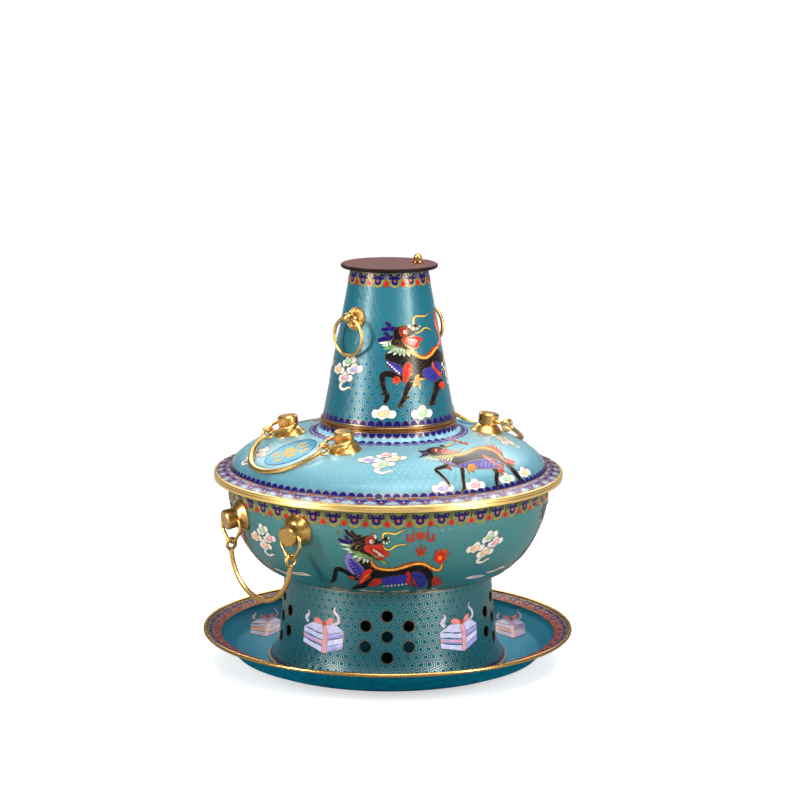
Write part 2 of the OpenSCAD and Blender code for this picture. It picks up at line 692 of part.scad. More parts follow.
damper_plate();
damper_lug();
damper_pin();
damper_nut();
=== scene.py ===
import bpy
import math
from bisect import bisect_right
from mathutils import Matrix, Vector
from mathutils.geometry import delaunay_2d_cdt


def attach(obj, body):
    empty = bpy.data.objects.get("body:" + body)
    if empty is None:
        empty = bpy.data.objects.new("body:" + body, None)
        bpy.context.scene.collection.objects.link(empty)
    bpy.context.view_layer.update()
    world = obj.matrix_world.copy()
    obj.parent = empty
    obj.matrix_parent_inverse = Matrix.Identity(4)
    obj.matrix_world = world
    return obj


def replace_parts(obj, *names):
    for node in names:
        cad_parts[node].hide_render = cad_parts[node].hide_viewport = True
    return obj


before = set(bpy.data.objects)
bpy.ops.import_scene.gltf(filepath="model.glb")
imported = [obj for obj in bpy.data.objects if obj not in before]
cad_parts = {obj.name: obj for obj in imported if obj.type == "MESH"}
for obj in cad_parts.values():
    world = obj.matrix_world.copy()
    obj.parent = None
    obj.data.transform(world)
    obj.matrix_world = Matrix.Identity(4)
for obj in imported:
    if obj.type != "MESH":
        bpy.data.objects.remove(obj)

# The chimney hot pot in cloisonne enamel. Lengths below are in mm until a mesh is made. A face of a turned
# shell is read as (az, s): az turns from the front (-Y) toward +X, s is the arc length along its section.
MM = 0.001
TAU = 2 * math.pi
PITCH = math.radians(10.262)    # how far the camera looks down
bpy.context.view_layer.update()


# ---------------------------------------------------------------- materials
class Graph:
    """Shader nodes of a material or world. An input is a value or another node's output."""

    def __init__(self, block):
        self.block = block
        block.use_nodes = True
        self.tree = block.node_tree

    def feed(self, socket, value):
        if isinstance(value, bpy.types.NodeSocket):
            self.tree.links.new(value, socket)
        else:
            socket.default_value = value

    def node(self, kind, inputs=None, out=0, **settings):
        n = self.tree.nodes.new("ShaderNode" + kind)
        for key, value in settings.items():
            setattr(n, key, value)
        for key, value in (inputs or {}).items():
            self.feed(n.inputs[key], value)
        return n.outputs[out]

    def surface(self, **inputs):
        """Inputs of the Principled BSDF, with _ in place of a space."""
        for key, value in inputs.items():
            self.feed(self.tree.nodes["Principled BSDF"].inputs[key.replace("_", " ")], value)

    def math(self, op, *values):
        return self.node("Math", dict(enumerate(values)), operation=op)

    def vec(self, op, *values, out=0):
        return self.node("VectorMath", dict(enumerate(values)), out, operation=op)

    def axis(self, vector, i):
        return self.node("SeparateXYZ", {0: vector}, i)

    def mix(self, share, a, b):
        return self.node("Mix", {0: share, 6: a, 7: b}, 2, data_type="RGBA")

    def noise(self, scale, detail=3.0, rough=0.55):
        at = self.node("TexCoord", out="Object")
        return self.node("TexNoise", {"Scale": scale, "Detail": detail, "Roughness": rough, "Vector": at})

    def ramp(self, x, lo, hi, a=0.0, b=1.0):
        return self.node("MapRange", {0: x, 1: lo, 2: hi, 3: a, 4: b}, interpolation_type="SMOOTHSTEP")

    def bump(self, height, strength, distance):
        self.surface(Normal=self.node("Bump", {"Height": height, "Strength": strength, "Distance": distance}))


def lin(rgb, k=1.0):
    """A colour of the screen as light, k times as bright."""
    out = []
    for c in rgb:
        c /= 255
        out.append((c / 12.92 if c <= 0.04045 else ((c + 0.055) / 1.055) ** 2.4) * k)
    return (*out, 1)


def enamel(name, rgb, vary=0.25, rough=0.2, gloss=0.22):
    """Fired enamel: cloudy in the depth, with a few pits and a slow ripple in the polish."""
    g = Graph(bpy.data.materials.new(name))
    cloud = g.ramp(g.noise(160, 4), 0.3, 0.7)
    pits = g.ramp(g.noise(900, 2), 0.35, 0.75, rough, rough + 0.15)
    g.surface(Base_Color=g.mix(cloud, lin(rgb, 1 - vary), lin(rgb, 1 + vary)), Roughness=pits,
              Specular_IOR_Level=gloss)
    g.bump(g.noise(420, 3), 0.12, 0.0004)
    return g.block


def hex_distance(g, uv, cell):
    """Distance from the middle of the nearest hexagon of a honeycomb: 0 in the middle, 0.5 on its edge."""
    tall = math.sqrt(3)
    half = (0.5, tall / 2, 0)
    p = g.vec("ADD", g.vec("DIVIDE", uv, (cell, cell, 1)), (500, 500 * tall, 0))
    a, b = (g.vec("SUBTRACT", g.vec("MODULO", q, (1, tall, 1)), half) for q in (p, g.vec("ADD", p, half)))
    near = g.math("LESS_THAN", g.vec("LENGTH", a, out=1), g.vec("LENGTH", b, out=1))
    nearest = g.vec("ABSOLUTE", g.node("Mix", {0: near, 4: b, 5: a}, 1, data_type="VECTOR"))
    x, y = g.axis(nearest, 0), g.axis(nearest, 1)
    slope = g.math("ADD", g.math("MULTIPLY", x, 0.5), g.math("MULTIPLY", y, tall / 2))
    return g.math("MAXIMUM", x, slope)


def ground(name, low, high, s_shaded, s_lit, wire=(88, 104, 106), cell=8.4, gloss=0.1):
    """The blue-green ground with its honeycomb of gilt wire, two hexagons to a cell. The colour runs from low
    to high along the section: painted shade at the low end, painted light at the high end."""
    wire_w, rough = 0.052, 0.22
    g = Graph(bpy.data.materials.new(name))
    uv = g.node("UVMap", uv_map="UVMap")
    wobble = g.node("TexNoise", {"Scale": 0.12, "Vector": uv}, 1)
    shake = g.vec("MULTIPLY", g.vec("SUBTRACT", wobble, (0.5, 0.5, 0.5)), (2.2, 2.2, 0))
    d = hex_distance(g, g.vec("ADD", uv, shake), cell)
    outer, inner = (g.ramp(x, wire_w, wire_w * 0.45) for x in
                    (g.math("SUBTRACT", 0.5, d), g.math("ABSOLUTE", g.math("SUBTRACT", d, 0.27))))
    mask = g.math("MAXIMUM", outer, inner)
    # Painted light and shade: from the shaded low colour to the lit high colour along the section.
    base = g.mix(g.ramp(g.axis(uv, 1), s_shaded, s_lit), lin(low), lin(high))
    cloud = g.ramp(g.noise(70, 5, 0.65), 0.3, 0.7)
    base = g.mix(cloud, base, g.mix(0.35, base, lin(high)))
    fleck = g.ramp(g.noise(1500, 1), 0.68, 0.78)
    base = g.mix(g.math("MULTIPLY", fleck, 0.5), base, lin(low, 0.45))
    g.surface(Base_Color=g.mix(mask, base, lin(wire)), Metallic=mask, Specular_IOR_Level=gloss,
              Roughness=g.math("ADD", g.math("MULTIPLY", mask, 0.12), rough))
    height = g.math("ADD", g.math("MULTIPLY", mask, 0.8), g.math("MULTIPLY", g.noise(300, 3), 0.5))
    g.bump(height, 0.25, 0.0003)
    return g.block


def metal(name, rgb, rough, dirt=0.03, dirt_rgb=(90, 45, 15), grain=260, metallic=1.0, gloss=0.5, edge=None):
    """Gilt or plain metal: polish that comes and goes, with fine wear marks.
    With an edge colour, whatever doesn't face upward has that colour: painted shade on undersides and rims."""
    g = Graph(bpy.data.materials.new(name))
    wear = g.ramp(g.noise(grain, 5, 0.6), 0.42, 0.72)
    colour = g.mix(g.math("MULTIPLY", wear, dirt), lin(rgb), lin(dirt_rgb))
    # Painted shade: faces that don't look upward take the darker edge colour.
    if edge:
        up = g.axis(g.node("NewGeometry", out="Normal"), 2)
        colour = g.mix(g.ramp(up, 0.75, 0.95), lin(edge), colour)
    g.surface(Base_Color=colour, Metallic=metallic, Specular_IOR_Level=gloss,
              Roughness=g.ramp(g.noise(700, 3), 0.3, 0.75, rough, rough + 0.07))
    g.bump(g.noise(380, 2), 0.012, 0.0002)
    return g.block


MAT = {
    "gilt": metal("gilt", (220, 172, 100), 0.26),
    "gilt_rim": metal("gilt_rim", (246, 206, 126), 0.3),
    "tray_gilt": metal("tray_gilt", (206, 160, 94), 0.24, 0.05),
    "wire": metal("cloison_wire", (150, 118, 76), 0.3, 0.2),
    "thread": metal("scale_wire", (96, 84, 66), 0.32, 0.2),
    "gold": metal("flat_gold", (204, 160, 44), 0.4, 0.2, metallic=0.1, gloss=0.1),
    "bronze": metal("dark_gilt", (150, 105, 60), 0.3, 0.5, (50, 30, 30)),
    "copper": metal("bare_copper", (190, 125, 80), 0.35, 0.6, (60, 30, 20)),
    # The plate's last colour is painted shade on its underside and rim.
    "plate": metal("plate_copper", (86, 36, 30), 0.5, 0.4, (66, 28, 24), 120, 0.2, 0.1, (30, 16, 12)),
    "iron": metal("cast_iron", (60, 58, 56), 0.55, 0.4, (120, 60, 30), 90, 0.7),
    "soot": metal("sooty_flue", (55, 45, 40), 0.7, 0.8, (15, 12, 10), 60, 0.2),
    # The low and high colours of each ground are painted shade and painted light; the lid's pale high colour
    # is a painted sheen.
    "bowl": ground("bowl_ground", (2, 68, 88), (44, 126, 128), 30, 92, (146, 160, 154)),
    "lid": ground("lid_ground", (2, 104, 130), (132, 190, 204), 0, 62, (100, 118, 118), gloss=0.4),
    "cone": ground("cone_ground", (2, 98, 118), (4, 108, 128), 0, 140, (108, 122, 118), 9.4),
    "base": ground("base_ground", (0, 72, 86), (8, 94, 102), 0, 85, (118, 132, 128)),
    "tray": ground("tray_ground", (6, 138, 168), (10, 148, 182), 0, 100, gloss=0.06),
    "under": enamel("tray_underside", (0, 112, 138), rough=0.5, gloss=0.03),
    "inner": enamel("inner_enamel", (70, 150, 155), rough=0.22),
    "collar": enamel("collar_blue", (126, 172, 196)),
    "pale": enamel("pale_lilac_enamel", (196, 192, 222), 0.12),
    "turq": enamel("turquoise_enamel", (30, 136, 164), 0.15),
    "dark": enamel("hole_edge", (40, 30, 22)),
}
for vary, colours in (
        (0.25, {"black": (24, 20, 22), "navy": (22, 14, 96), "violet": (84, 76, 150), "blue": (56, 52, 150),
                "lilac": (128, 116, 188), "red": (205, 42, 34), "brick": (150, 40, 30),
                "orange": (240, 130, 30), "yellow": (238, 190, 80), "green": (110, 165, 95),
                "olive": (132, 140, 78)}),
        (0.2, {"lid_band": (140, 160, 196)}),
        (0.15, {"pink": (228, 130, 130)}),
        (0.12, {"peach": (238, 190, 134), "sage": (160, 200, 150), "mauve": (158, 150, 204),
                "rose": (226, 156, 164), "mint": (185, 215, 185)}),
        (0.06, {"white": (226, 220, 210)})):
    for key, rgb in colours.items():
        MAT[key] = enamel(key + "_enamel", rgb, vary)


# ---------------------------------------------------------------- turned faces
class Face:
    """Face of a turned shell: (r, z) points with the face's outer side to the right of the way they run."""

    def __init__(self, points, body):
        self.p = [tuple(q) for q in points]
        self.body = body
        self.s = [0.0]
        for a, b in zip(self.p, self.p[1:]):
            self.s.append(self.s[-1] + math.dist(a, b))
        self.length = self.s[-1]
        self.n = []
        for a, b in zip(self.p[:1] + self.p, self.p[1:] + self.p[-1:]):
            k = math.dist(a, b)
            self.n.append(((b[1] - a[1]) / k, -(b[0] - a[0]) / k))

    def at(self, s):
        """(r, z) and the outward normal at the arc length s."""
        i = min(max(bisect_right(self.s, s) - 1, 0), len(self.p) - 2)
        t = (s - self.s[i]) / (self.s[i + 1] - self.s[i])
        return tuple(a + (b - a) * t for a, b in zip(self.p[i] + self.n[i], self.p[i + 1] + self.n[i + 1]))

    def point(self, az, s, h=0.0):
        r, z, nr, nz = self.at(s)
        r += nr * h
        return (r * math.sin(az) * MM, -r * math.cos(az) * MM, (z + nz * h) * MM)

    def s_at(self, value, axis=1):
        """Arc length at which the section first has this z, or this r with axis 0."""
        for i, (a, b) in enumerate(zip(self.p, self.p[1:])):
            a, b = a[axis], b[axis]
            if min(a, b) <= value <= max(a, b) and a != b:
                return self.s[i] + (self.s[i + 1] - self.s[i]) * (value - a) / (b - a)
        raise ValueError(value)

    def s_at_r(self, r):
        return self.s_at(r, 0)

    def seen(self, az0, s0):
        """A drawing made as the front view shows it, in mm right and up from the anchor, laid onto the face.
        What would lie past the face's outline goes on round it."""
        rise, sink = math.cos(PITCH), math.sin(PITCH)
        brim = 0.95 if abs(az0) < math.radians(85) else 2
        r0, z0 = self.at(s0)[:2]
        x0, y0 = r0 * math.sin(az0), z0 * rise - r0 * math.cos(az0) * sink

        def place(x, y):
            az, s = az0 + x / r0, s0 + y
            for _ in range(24):
                s = min(max(s, 0.5), self.length - 0.5)
                r, z = self.at(s)[:2]
                dr, dz = (b - a for a, b in zip(self.at(s - 0.5)[:2], self.at(s + 0.5)[:2]))
                side = (x0 + x) / r
                if abs(side) > brim:
                    past = math.asin(brim) + (abs(side) - brim) * 3.2
                    az = math.copysign(past, side)
                ex, ey = x0 + x - r * math.sin(az), y0 + y - z * rise + r * math.cos(az) * sink
                a, b = r * math.cos(az), dr * math.sin(az)
                c, d = r * math.sin(az) * sink, dz * rise - dr * math.cos(az) * sink
                if abs(side) > brim:
                    s += min(max(ey / max(d, 0.25), -5), 5)
                    continue
                det = max(a * d - b * c, 0.12 * r)
                s += min(max((a * ey - c * ex) / det, -5), 5)
                az += min(max((d * ex - b * ey) / det, -0.08), 0.08)
            return az, min(max(s, 0), self.length)
        return place

    def flat(self, az0, s0):
        """A drawing laid on as it is, in mm along the face."""
        return lambda x, y: (az0 + x / self.at(s0 + y)[0], s0 + y)

    def band(self, az0, s0, count, pitch):
        """A drawing of a repeated border: its width of one pitch fits count times round the face."""
        return lambda x, y: (az0 + x / pitch * TAU / count, s0 + y)


def make_object(name, verts, faces, mats, body, face_mats=None, uvs=None, smooth_angle=None):
    mesh = bpy.data.meshes.new(name)
    mesh.from_pydata(verts, [], faces)
    for m in mats:
        mesh.materials.append(m)
    if face_mats:
        mesh.polygons.foreach_set("material_index", face_mats)
    if uvs:
        layer = mesh.uv_layers.new(name="UVMap")
        layer.data.foreach_set("uv", uvs)
    mesh.update()
    mesh.shade_smooth()
    mesh.set_sharp_from_angle(angle=math.radians(smooth_angle))
    o = bpy.data.objects.new(name, mesh)
    bpy.context.collection.objects.link(o)
    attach(o, body)
    return o


def lathe(name, section, body, mats):
    """Turned piece. section holds (r, z, material index of the stretch that starts here) and runs so that the
    outer side is on the right. The UV map is in mm, round the piece and along the section, scaled so that
    cells stay even."""
    seg, n = 224, len(section)
    r_ref = max(q[0] for q in section)
    verts, faces, face_mats, uvs = [], [], [], []
    v = [0.0]
    for a, b in zip(section, section[1:] + section[:1]):
        mean = max((a[0] + b[0]) / 2, 1.0)
        v.append(v[-1] + math.dist(a[:2], b[:2]) * (r_ref / mean if mean > 0.35 * r_ref else 1))
    for k in range(seg):
        ca, sa = math.cos(TAU * k / seg), math.sin(TAU * k / seg)
        verts += [(r * sa * MM, -r * ca * MM, z * MM) for r, z, _ in section]
        k2 = (k + 1) % seg
        u1, u2 = r_ref * TAU * k / seg, r_ref * TAU * (k + 1) / seg
        for i in range(n):
            j = (i + 1) % n
            faces.append((k * n + i, k2 * n + i, k2 * n + j, k * n + j))
            face_mats.append(section[i][2])
            uvs += [u1, v[i], u2, v[i], u2, v[i + 1], u1, v[i + 1]]
    return make_object(name, verts, faces, [MAT[m] for m in mats], body, face_mats, uvs, 35)


def spline(points, step, closed=False):
    out, n = [], len(points)
    for i in range(n if closed else n - 1):
        spots = (i + j for j in (-1, 0, 1, 2))
        a, b, c, d = (points[j % n if closed else min(max(j, 0), n - 1)] for j in spots)
        for q in range(step):
            t = q / step
            out.append(tuple(0.5 * (2 * v + (w - u) * t + (2 * u - 5 * v + 4 * w - x) * t * t
                                    + (3 * v - u - 3 * w + x) * t ** 3) for u, v, w, x in zip(a, b, c, d)))
    if not closed:
        out.append(tuple(points[-1]))
    return out


def polar(x, y, rx, ry, n, span=360, end=0):
    """n points of an ellipse from the right over a span in degrees, and with end=1 the span's last point."""
    angles = [math.radians(span * i / n) for i in range(n + end)]
    return [(x + rx * math.cos(a), y + ry * math.sin(a)) for a in angles]


def moved(points, x, y):
    return [(x + p[0], y + p[1]) for p in points]


def scaled(points, kx, ky=None):
    return [(x * kx, y * (ky or kx)) for x, y in points]


def offset(points, t):
    f = Face(points, "")
    return [(p[0] - n[0] * t, p[1] - n[1] * t) for p, n in zip(f.p, f.n)]


def tag(points, m=0):
    return [(p[0], p[1], m) for p in points]


# ---------------------------------------------------------------- drawings
def winding(p, poly):
    w = 0
    for (x1, y1), (x2, y2) in zip(poly, poly[1:] + poly[:1]):
        if (y1 <= p[1]) != (y2 <= p[1]):
            side = (x2 - x1) * (p[1] - y1) - (p[0] - x1) * (y2 - y1)
            if y2 > y1 and side > 0:
                w += 1
            elif y2 <= y1 and side < 0:
                w -= 1
    return w


def triangles(points, edges, inside):
    """Triangles between the points where the middle is inside, and the edges round them."""
    v, _, tris = delaunay_2d_cdt([Vector(p) for p in points], edges, [], 0, 1e-5)[:3]
    keep = [tuple(t) for t in tris if inside((sum(v[i].x for i in t) / 3, sum(v[i].y for i in t) / 3))]
    rim = {}
    for t in keep:
        for a, b in zip(t, t[1:] + t[:1]):
            if (b, a) in rim:
                del rim[b, a]
            else:
                rim[a, b] = True
    return [(q.x, q.y) for q in v], keep, list(rim)


def fill(outline, step):
    """Triangles inside an outline, fine enough to follow a curved face, and the edges round them."""
    pts = list(outline)
    edges = [(i, (i + 1) % len(pts)) for i in range(len(pts))]
    (x0, y0), (x1, y1) = ([f(p[i] for p in outline) for i in (0, 1)] for f in (min, max))
    y = y0 + step / 2
    while y < y1:
        x = x0 + step / 2
        while x < x1:
            if winding((x, y), outline):
                pts.append((x, y))
            x += step
        y += step
    return triangles(pts, edges, lambda c: winding(c, outline))


def thick(line, w, closed=False):
    """The two sides of a line of width w, a number or one per point."""
    n = len(line)
    ws = list(w) if hasattr(w, "__len__") else [w] * n
    left, right = [], []
    for i, (x, y) in enumerate(line):
        a = line[(i - 1) % n] if closed or i else line[0]
        b = line[(i + 1) % n] if closed or i < n - 1 else line[-1]
        dx, dy = b[0] - a[0], b[1] - a[1]
        k = math.hypot(dx, dy) or 1
        nx, ny = -dy / k * ws[i] / 2, dx / k * ws[i] / 2
        left.append((x + nx, y + ny))
        right.append((x - nx, y - ny))
    return left, right


class Ornament:
    """Collects the enamel cells and wires that lie on one body, and makes one piece of each colour."""
    pools = {}
    LAYER = 0.07  # mm from one layer to the next
    WIRE_RISE = 0.09  # mm a wire stands over its cell
    DEEP = 0.35  # mm the sides go down into the face

    def __init__(self, face, place, height, turns=(0.0,)):
        self.face, self.place, self.h, self.turns = face, place, height, turns

    def put(self, colour, flat, tris, rim, h):
        """A patch at the height h over the face, with sides that go down into the face."""
        spots = [self.place(x, y) for x, y in flat]
        verts, faces = Ornament.pools.setdefault((self.face.body, colour), ([], []))
        for turn in self.turns:
            k = len(verts)
            n = len(spots)
            for level in (h, h - self.DEEP):
                verts += [self.face.point(az + turn, s, level) for az, s in spots]
            faces += [tuple(k + i for i in t) for t in tris]
            faces += [(k + b, k + a, k + n + a, k + n + b) for a, b in rim]

    def cell(self, colour, outline, layer=0, wire=0.5, step=3.0):
        self.put(colour, *fill(outline, step), self.h + self.LAYER * layer)
        if wire:
            self.line(outline, wire, layer, True)

    def blob(self, colour, points, layer=0, wire=0.5, n=4):
        self.cell(colour, spline(points, n, True), layer, wire)

    def stroke(self, colour, points, width, layer=0, wire=0.4, n=4):
        """A brush stroke: width goes from the first to the last value along the line."""
        line = spline(points, n)
        ws = [w[0] for w in spline([(w,) for w in width], 8)]
        ws = [ws[min(int(i / (len(line) - 1) * (len(ws) - 1)), len(ws) - 1)] for i in range(len(line))]
        left, right = thick(line, ws)
        self.cell(colour, left + right[::-1], layer, wire)

    def line(self, line, w, layer=0, closed=False, colour="wire"):
        left, right = thick(line, w, closed)
        n = len(line)
        rim = [(i, (i + 1) % n) for i in range(n if closed else n - 1)]
        quads = [(n + a, n + b, b, a) for a, b in rim]
        edges = [(b, a) for a, b in rim] + [(n + a, n + b) for a, b in rim]
        self.put(colour, left + right, quads, edges, self.h + self.LAYER * layer + self.WIRE_RISE)

    def disc(self, colour, x, y, r, layer=0, wire=0.4, n=14):
        self.cell(colour, polar(x, y, r, r, n), layer, wire)

    @classmethod
    def build(cls):
        for (body, colour), (verts, faces) in cls.pools.items():
            make_object(f"enamel_{body}_{colour}", verts, faces, [MAT[colour]], body, smooth_angle=40)


# ---------------------------------------------------------------- sizes of the shells
WALL, THIN_WALL = 1.6, 1.5      # of tray, base and bowl, and of lid and cone
FOOT_Z, BASE_R, BOWL_Z = 7.0, 101, 92.0
RIM_R, RIM_Z, SEAT_Z = 169.5, 184.5, 187.5
CONE_R, CONE_TOP_R, CONE_FOOT, CHIM_Z = 64, 37, 243.5, 389.0
BAND_R, WELL_R, FLOOR_Z = 164.1, 149, 4
VENT_MID, VENT_PITCH, VENT_R = 49.5, 19.8, 5.4
PULL_AZ, PULL_Z = math.radians(-43.5), 100.0
POT_BAIL_AZ, POT_HALF_AZ, POT_STUD_Z = -48.75, 15.75, 158.5
LID_BAIL_AZ, LID_HALF_AZ, LID_STUD_R = -54.75, 29.75, 96
COLLAR_R = 75


def base_r(z):
    return BASE_R + 0.075 * (BOWL_Z - z) + 12 * math.exp(-(z - 4) / 9)


def between(low, high, n):
    return [low + (high - low) * i / n for i in range(n + 1)]


belly = []
for i in range(41):
    q = i / 40
    q = q * q * 0.5 + q * 0.5
    belly.append((BASE_R + 54.5 * (1 - (1 - q) ** 1.8) ** (1 / 1.8), BOWL_Z + 82 * q))
mouth = [(155.5 + 8 * (1 - math.cos(a)), 174 + 10.5 * math.sin(a)) for a in
         [math.radians(11.25 * i) for i in range(1, 9)]]
bowl_face = Face(belly + mouth, "pot")
dome = [(66, 51), (67.6, 46), (74, 42), (97, 39.2), (114.5, 35.55), (132, 27.5), (146.25, 18.05), (154.5, 7)]
lid_face = Face(spline(moved(dome, 0, SEAT_Z), 8)[::-1], "lid")
edge_face = Face(moved([(RIM_R, 3), (162, 5), (154.5, 7)], 0, SEAT_Z), "lid")
cone_face = Face(zip(between(CONE_R, CONE_TOP_R, 30), between(CONE_FOOT, CHIM_Z, 30)), "chimney")
base_face = Face([(base_r(z), z) for z in between(FOOT_Z, BOWL_Z, 44)], "pot")
tray_band = [(179.1, 33.1), (171, 31.2), (BAND_R, 29.6)]
tray_well = spline([(BAND_R, 29.6), (161.6, 25.6), (156.5, 20.3), (WELL_R, 13)], 4)
tray_dish = spline([(WELL_R, 13), (136.5, 7.24), (124, FLOOR_Z)], 4)
tray_top = Face(tray_band + tray_well[1:] + tray_dish[1:] + [(60, FLOOR_Z), (10, FLOOR_Z)], "tray")


# ---------------------------------------------------------------- shells
def tray():
    top = tray_top.p[:-1]
    under = [(r, z - WALL - (0.9 if WELL_R <= r < BAND_R else 0)) for r, z in top][::-1]
    n_band = len(tray_band) - 1
    section = tag(top[:n_band], 2) + tag(top[n_band:] + [(0.01, FLOOR_Z)])
    section += tag([(0.01, FLOOR_Z - WALL)] + under, 1)
    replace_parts(lathe("tray_dish", section, "tray", ("tray", "under", "olive")), "tray")
    bead = polar(179.1, 33.1, 1.9, 1.9, 11, -330, 1)
    lathe("tray_bead", tag(bead), "tray", ["tray_gilt"])
    foot = [(103.6, 0), (104, 0.4), (104, 4), (100, 4), (100, 0)]
    lathe("tray_foot", tag(foot), "tray", ["copper"])


def bowl():
    inner = offset(bowl_face.p, WALL)
    inner[0] = (BASE_R - WALL, inner[0][1])
    lip = [(163.5, RIM_Z), (RIM_R, RIM_Z), (RIM_R, RIM_Z + WALL)]
    section = [(69, BOWL_Z, 0)] + tag(bowl_face.p) + tag(lip, 1) + tag(inner[::-1] + [(69, BOWL_Z + WALL)], 2)
    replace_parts(lathe("bowl_shell", section, "pot", ("bowl", "gilt_rim", "copper")), "bowl")
    ring = [(-8, 0), (-1.5, 0), (-0.6, 0.2), (-0.1, 0.7), (0, 1.4), (0, 2.7), (-0.2, 3), (-8, 3)]
    lathe("bowl_rim", tag(moved(ring, RIM_R, RIM_Z)), "pot", ["gilt_rim"])


def lid():
    edge = moved([(168.6, 1.2), (167.6, 3.1)], 0, SEAT_Z) + edge_face.p[1:]
    section = tag(edge[:3], 2) + [(r, z, 4 if r < COLLAR_R else 0) for r, z in edge[3:] + lid_face.p[1:]]
    plug = [(152, 3), (152, -11), (153.5, -11), (153.5, 0), (168.2, 0.3), (168.6, 0.6)]
    section += tag(offset(lid_face.p, THIN_WALL)[::-1] + moved(plug, 0, SEAT_Z), 1)
    mats = ("lid", "inner", "lid_band", "gilt_rim", "collar")
    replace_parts(lathe("lid_shell", section, "lid", mats), "lid")
    ring = [(-4, 0.3), (-0.2, 0.3), (0, 0.5), (0, 1.9), (-0.2, 2.6), (-0.7, 3.1), (-1.5, 3.4), (-2.3, 3.5),
            (-2.9, 3.2)]
    lathe("lid_rim", tag(moved(ring, RIM_R, SEAT_Z)), "lid", ["gilt_rim"])


def cone():
    inner = [(CONE_TOP_R - THIN_WALL, CHIM_Z), (CONE_R - THIN_WALL, CONE_FOOT)]
    spigot = moved([(61.5, -5), (61.5, -13), (63, -13), (63, -1)], 0, CONE_FOOT)
    section = tag(cone_face.p) + tag(inner + spigot, 1)
    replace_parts(lathe("cone_shell", section, "chimney", ("cone", "soot")), "chimney")


def stove():
    """The wall of the stove base as a rolled-up sheet with round vents."""
    ref, start = 105.0, math.radians(36)
    side = math.asin(20.6 / base_r(VENT_MID))
    vents = []
    for az in (0, 77, 146, -146, -77):
        for a, b in ((0, -1), (0, 0), (0, 1), (-1, -0.5), (-1, 0.5), (1, -0.5), (1, 0.5)):
            vents.append((ref * ((math.radians(az) + a * side - start) % TAU), VENT_MID + b * VENT_PITCH))

    def clear(p, r):
        return all((p[0] - a) ** 2 + (p[1] - b) ** 2 > r ** 2 for a, b in vents)
    cols, rows, seg = 240, 28, 28
    heights = between(FOOT_Z, BOWL_Z, rows)
    pts = [(ref * TAU * i / cols, y) for i in range(cols) for y in heights]
    pts = [p for p in pts if clear(p, VENT_R + 1.1)] + [(ref * TAU, y) for y in heights]
    edges = []
    for a, b in vents:
        k = len(pts)
        pts += polar(a, b, VENT_R, VENT_R, seg)
        edges += [(k + i, k + (i + 1) % seg) for i in range(seg)]
    v, keep, rim = triangles(pts, edges, lambda c: clear(c, VENT_R - 0.05))
    n = len(v)
    verts = []
    for t in (0.0, WALL):
        for x, y in v:
            az, r = start + x / ref, base_r(y) - t
            verts.append((r * math.sin(az) * MM, -r * math.cos(az) * MM, y * MM))
    faces = keep + [tuple(i + n for i in t[::-1]) for t in keep]
    mats = [0] * len(keep) + [1] * len(keep)
    for a, b in rim:
        on_seam = v[a][0] < 1e-3 or v[a][0] > ref * TAU - 1e-3
        if not (on_seam and abs(v[a][0] - v[b][0]) < 1e-4):
            faces.append((b, a, a + n, b + n))
            mats.append(2)
    uvs = [q for f in faces for i in f for q in v[i % n]]
    o = make_object("base_wall", verts, faces, [MAT["base"], MAT["soot"], MAT["dark"]], "pot", mats, uvs, 50)
    weld = o.modifiers.new("weld", "WELD")
    weld.merge_threshold = 0.00001
    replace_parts(o, "stove_base")
    foot = [(-1.6, 4), (0.5, 4), (1.2, 4.4), (1.4, 5.2), (1.3, 6.2), (0.7, 7.0), (-0.2, 7.2), (-1.6, 7)]
    lathe("base_foot", tag(moved(foot, base_r(FOOT_Z), 0)), "pot", ["gilt"])
    for x, z in vents:
        rim_wire = Ornament(base_face, base_face.flat(start + x / ref, base_face.s_at(z)), 0.02)
        rim_wire.line(polar(0, 0, VENT_R + 0.6, VENT_R + 0.6, 24), 0.7, 0, True, "bronze")


# ---------------------------------------------------------------- motifs
def mirrored(half):
    """An outline from its right half, which runs down from the axis at the top to the axis at the bottom."""
    return half + [(-x, y) for x, y in half[-2:0:-1]]


def ruyi(orn, w, top, tall):
    """A cloud head that points down: two curled lobes and a drop between them, with a dot in the middle.
    With a negative height it points up."""
    half = [(0, 0.16), (0.1, 0.22), (0.2, 0.04), (0.38, 0), (0.51, 0.14), (0.5, 0.4), (0.38, 0.54),
            (0.26, 0.5), (0.28, 0.68), (0.22, 0.88), (0.1, 0.98), (0, 1)]
    orn.blob("navy", [(x * w, top - y * tall) for x, y in mirrored(half)], 1, 0.4, 2)
    for s in (-1, 1):
        orn.disc("olive", s * 0.36 * w, top - 0.24 * tall, 0.06 * w, 2, 0.25, 8)
    orn.disc("brick", 0, top - 0.62 * tall, 0.12 * w, 2, 0.3, 12)
    orn.disc("pink", 0, top - 0.62 * tall, 0.06 * w, 3, 0.25, 10)


def drop(orn, x, y, w, tall):
    orn.blob("red", [(x - w / 2, y), (x, y + tall / 2), (x + w / 2, y), (x, y - tall / 2)], 2, 0.35, 3)
    orn.disc("brick", x, y - tall * 0.06, w * 0.2, 3, 0, 8)


def scallop_row(orn, w, tall, layer=0):
    """One half-disc of a row that repeats with the pitch w. It points down where tall is negative."""
    orn.cell("navy", polar(0, 0, w * 0.47, tall, 10, 180, 1), layer, 0.45, 4)


def rings(face, s, w=0.8, colour="wire", h=0.25):
    """A wire laid right round a face."""
    n = 180
    orn, length = border(face, s, 1, 100, h)
    orn.line([(length * i / n, 0) for i in range(n)], w, 0, True, colour)


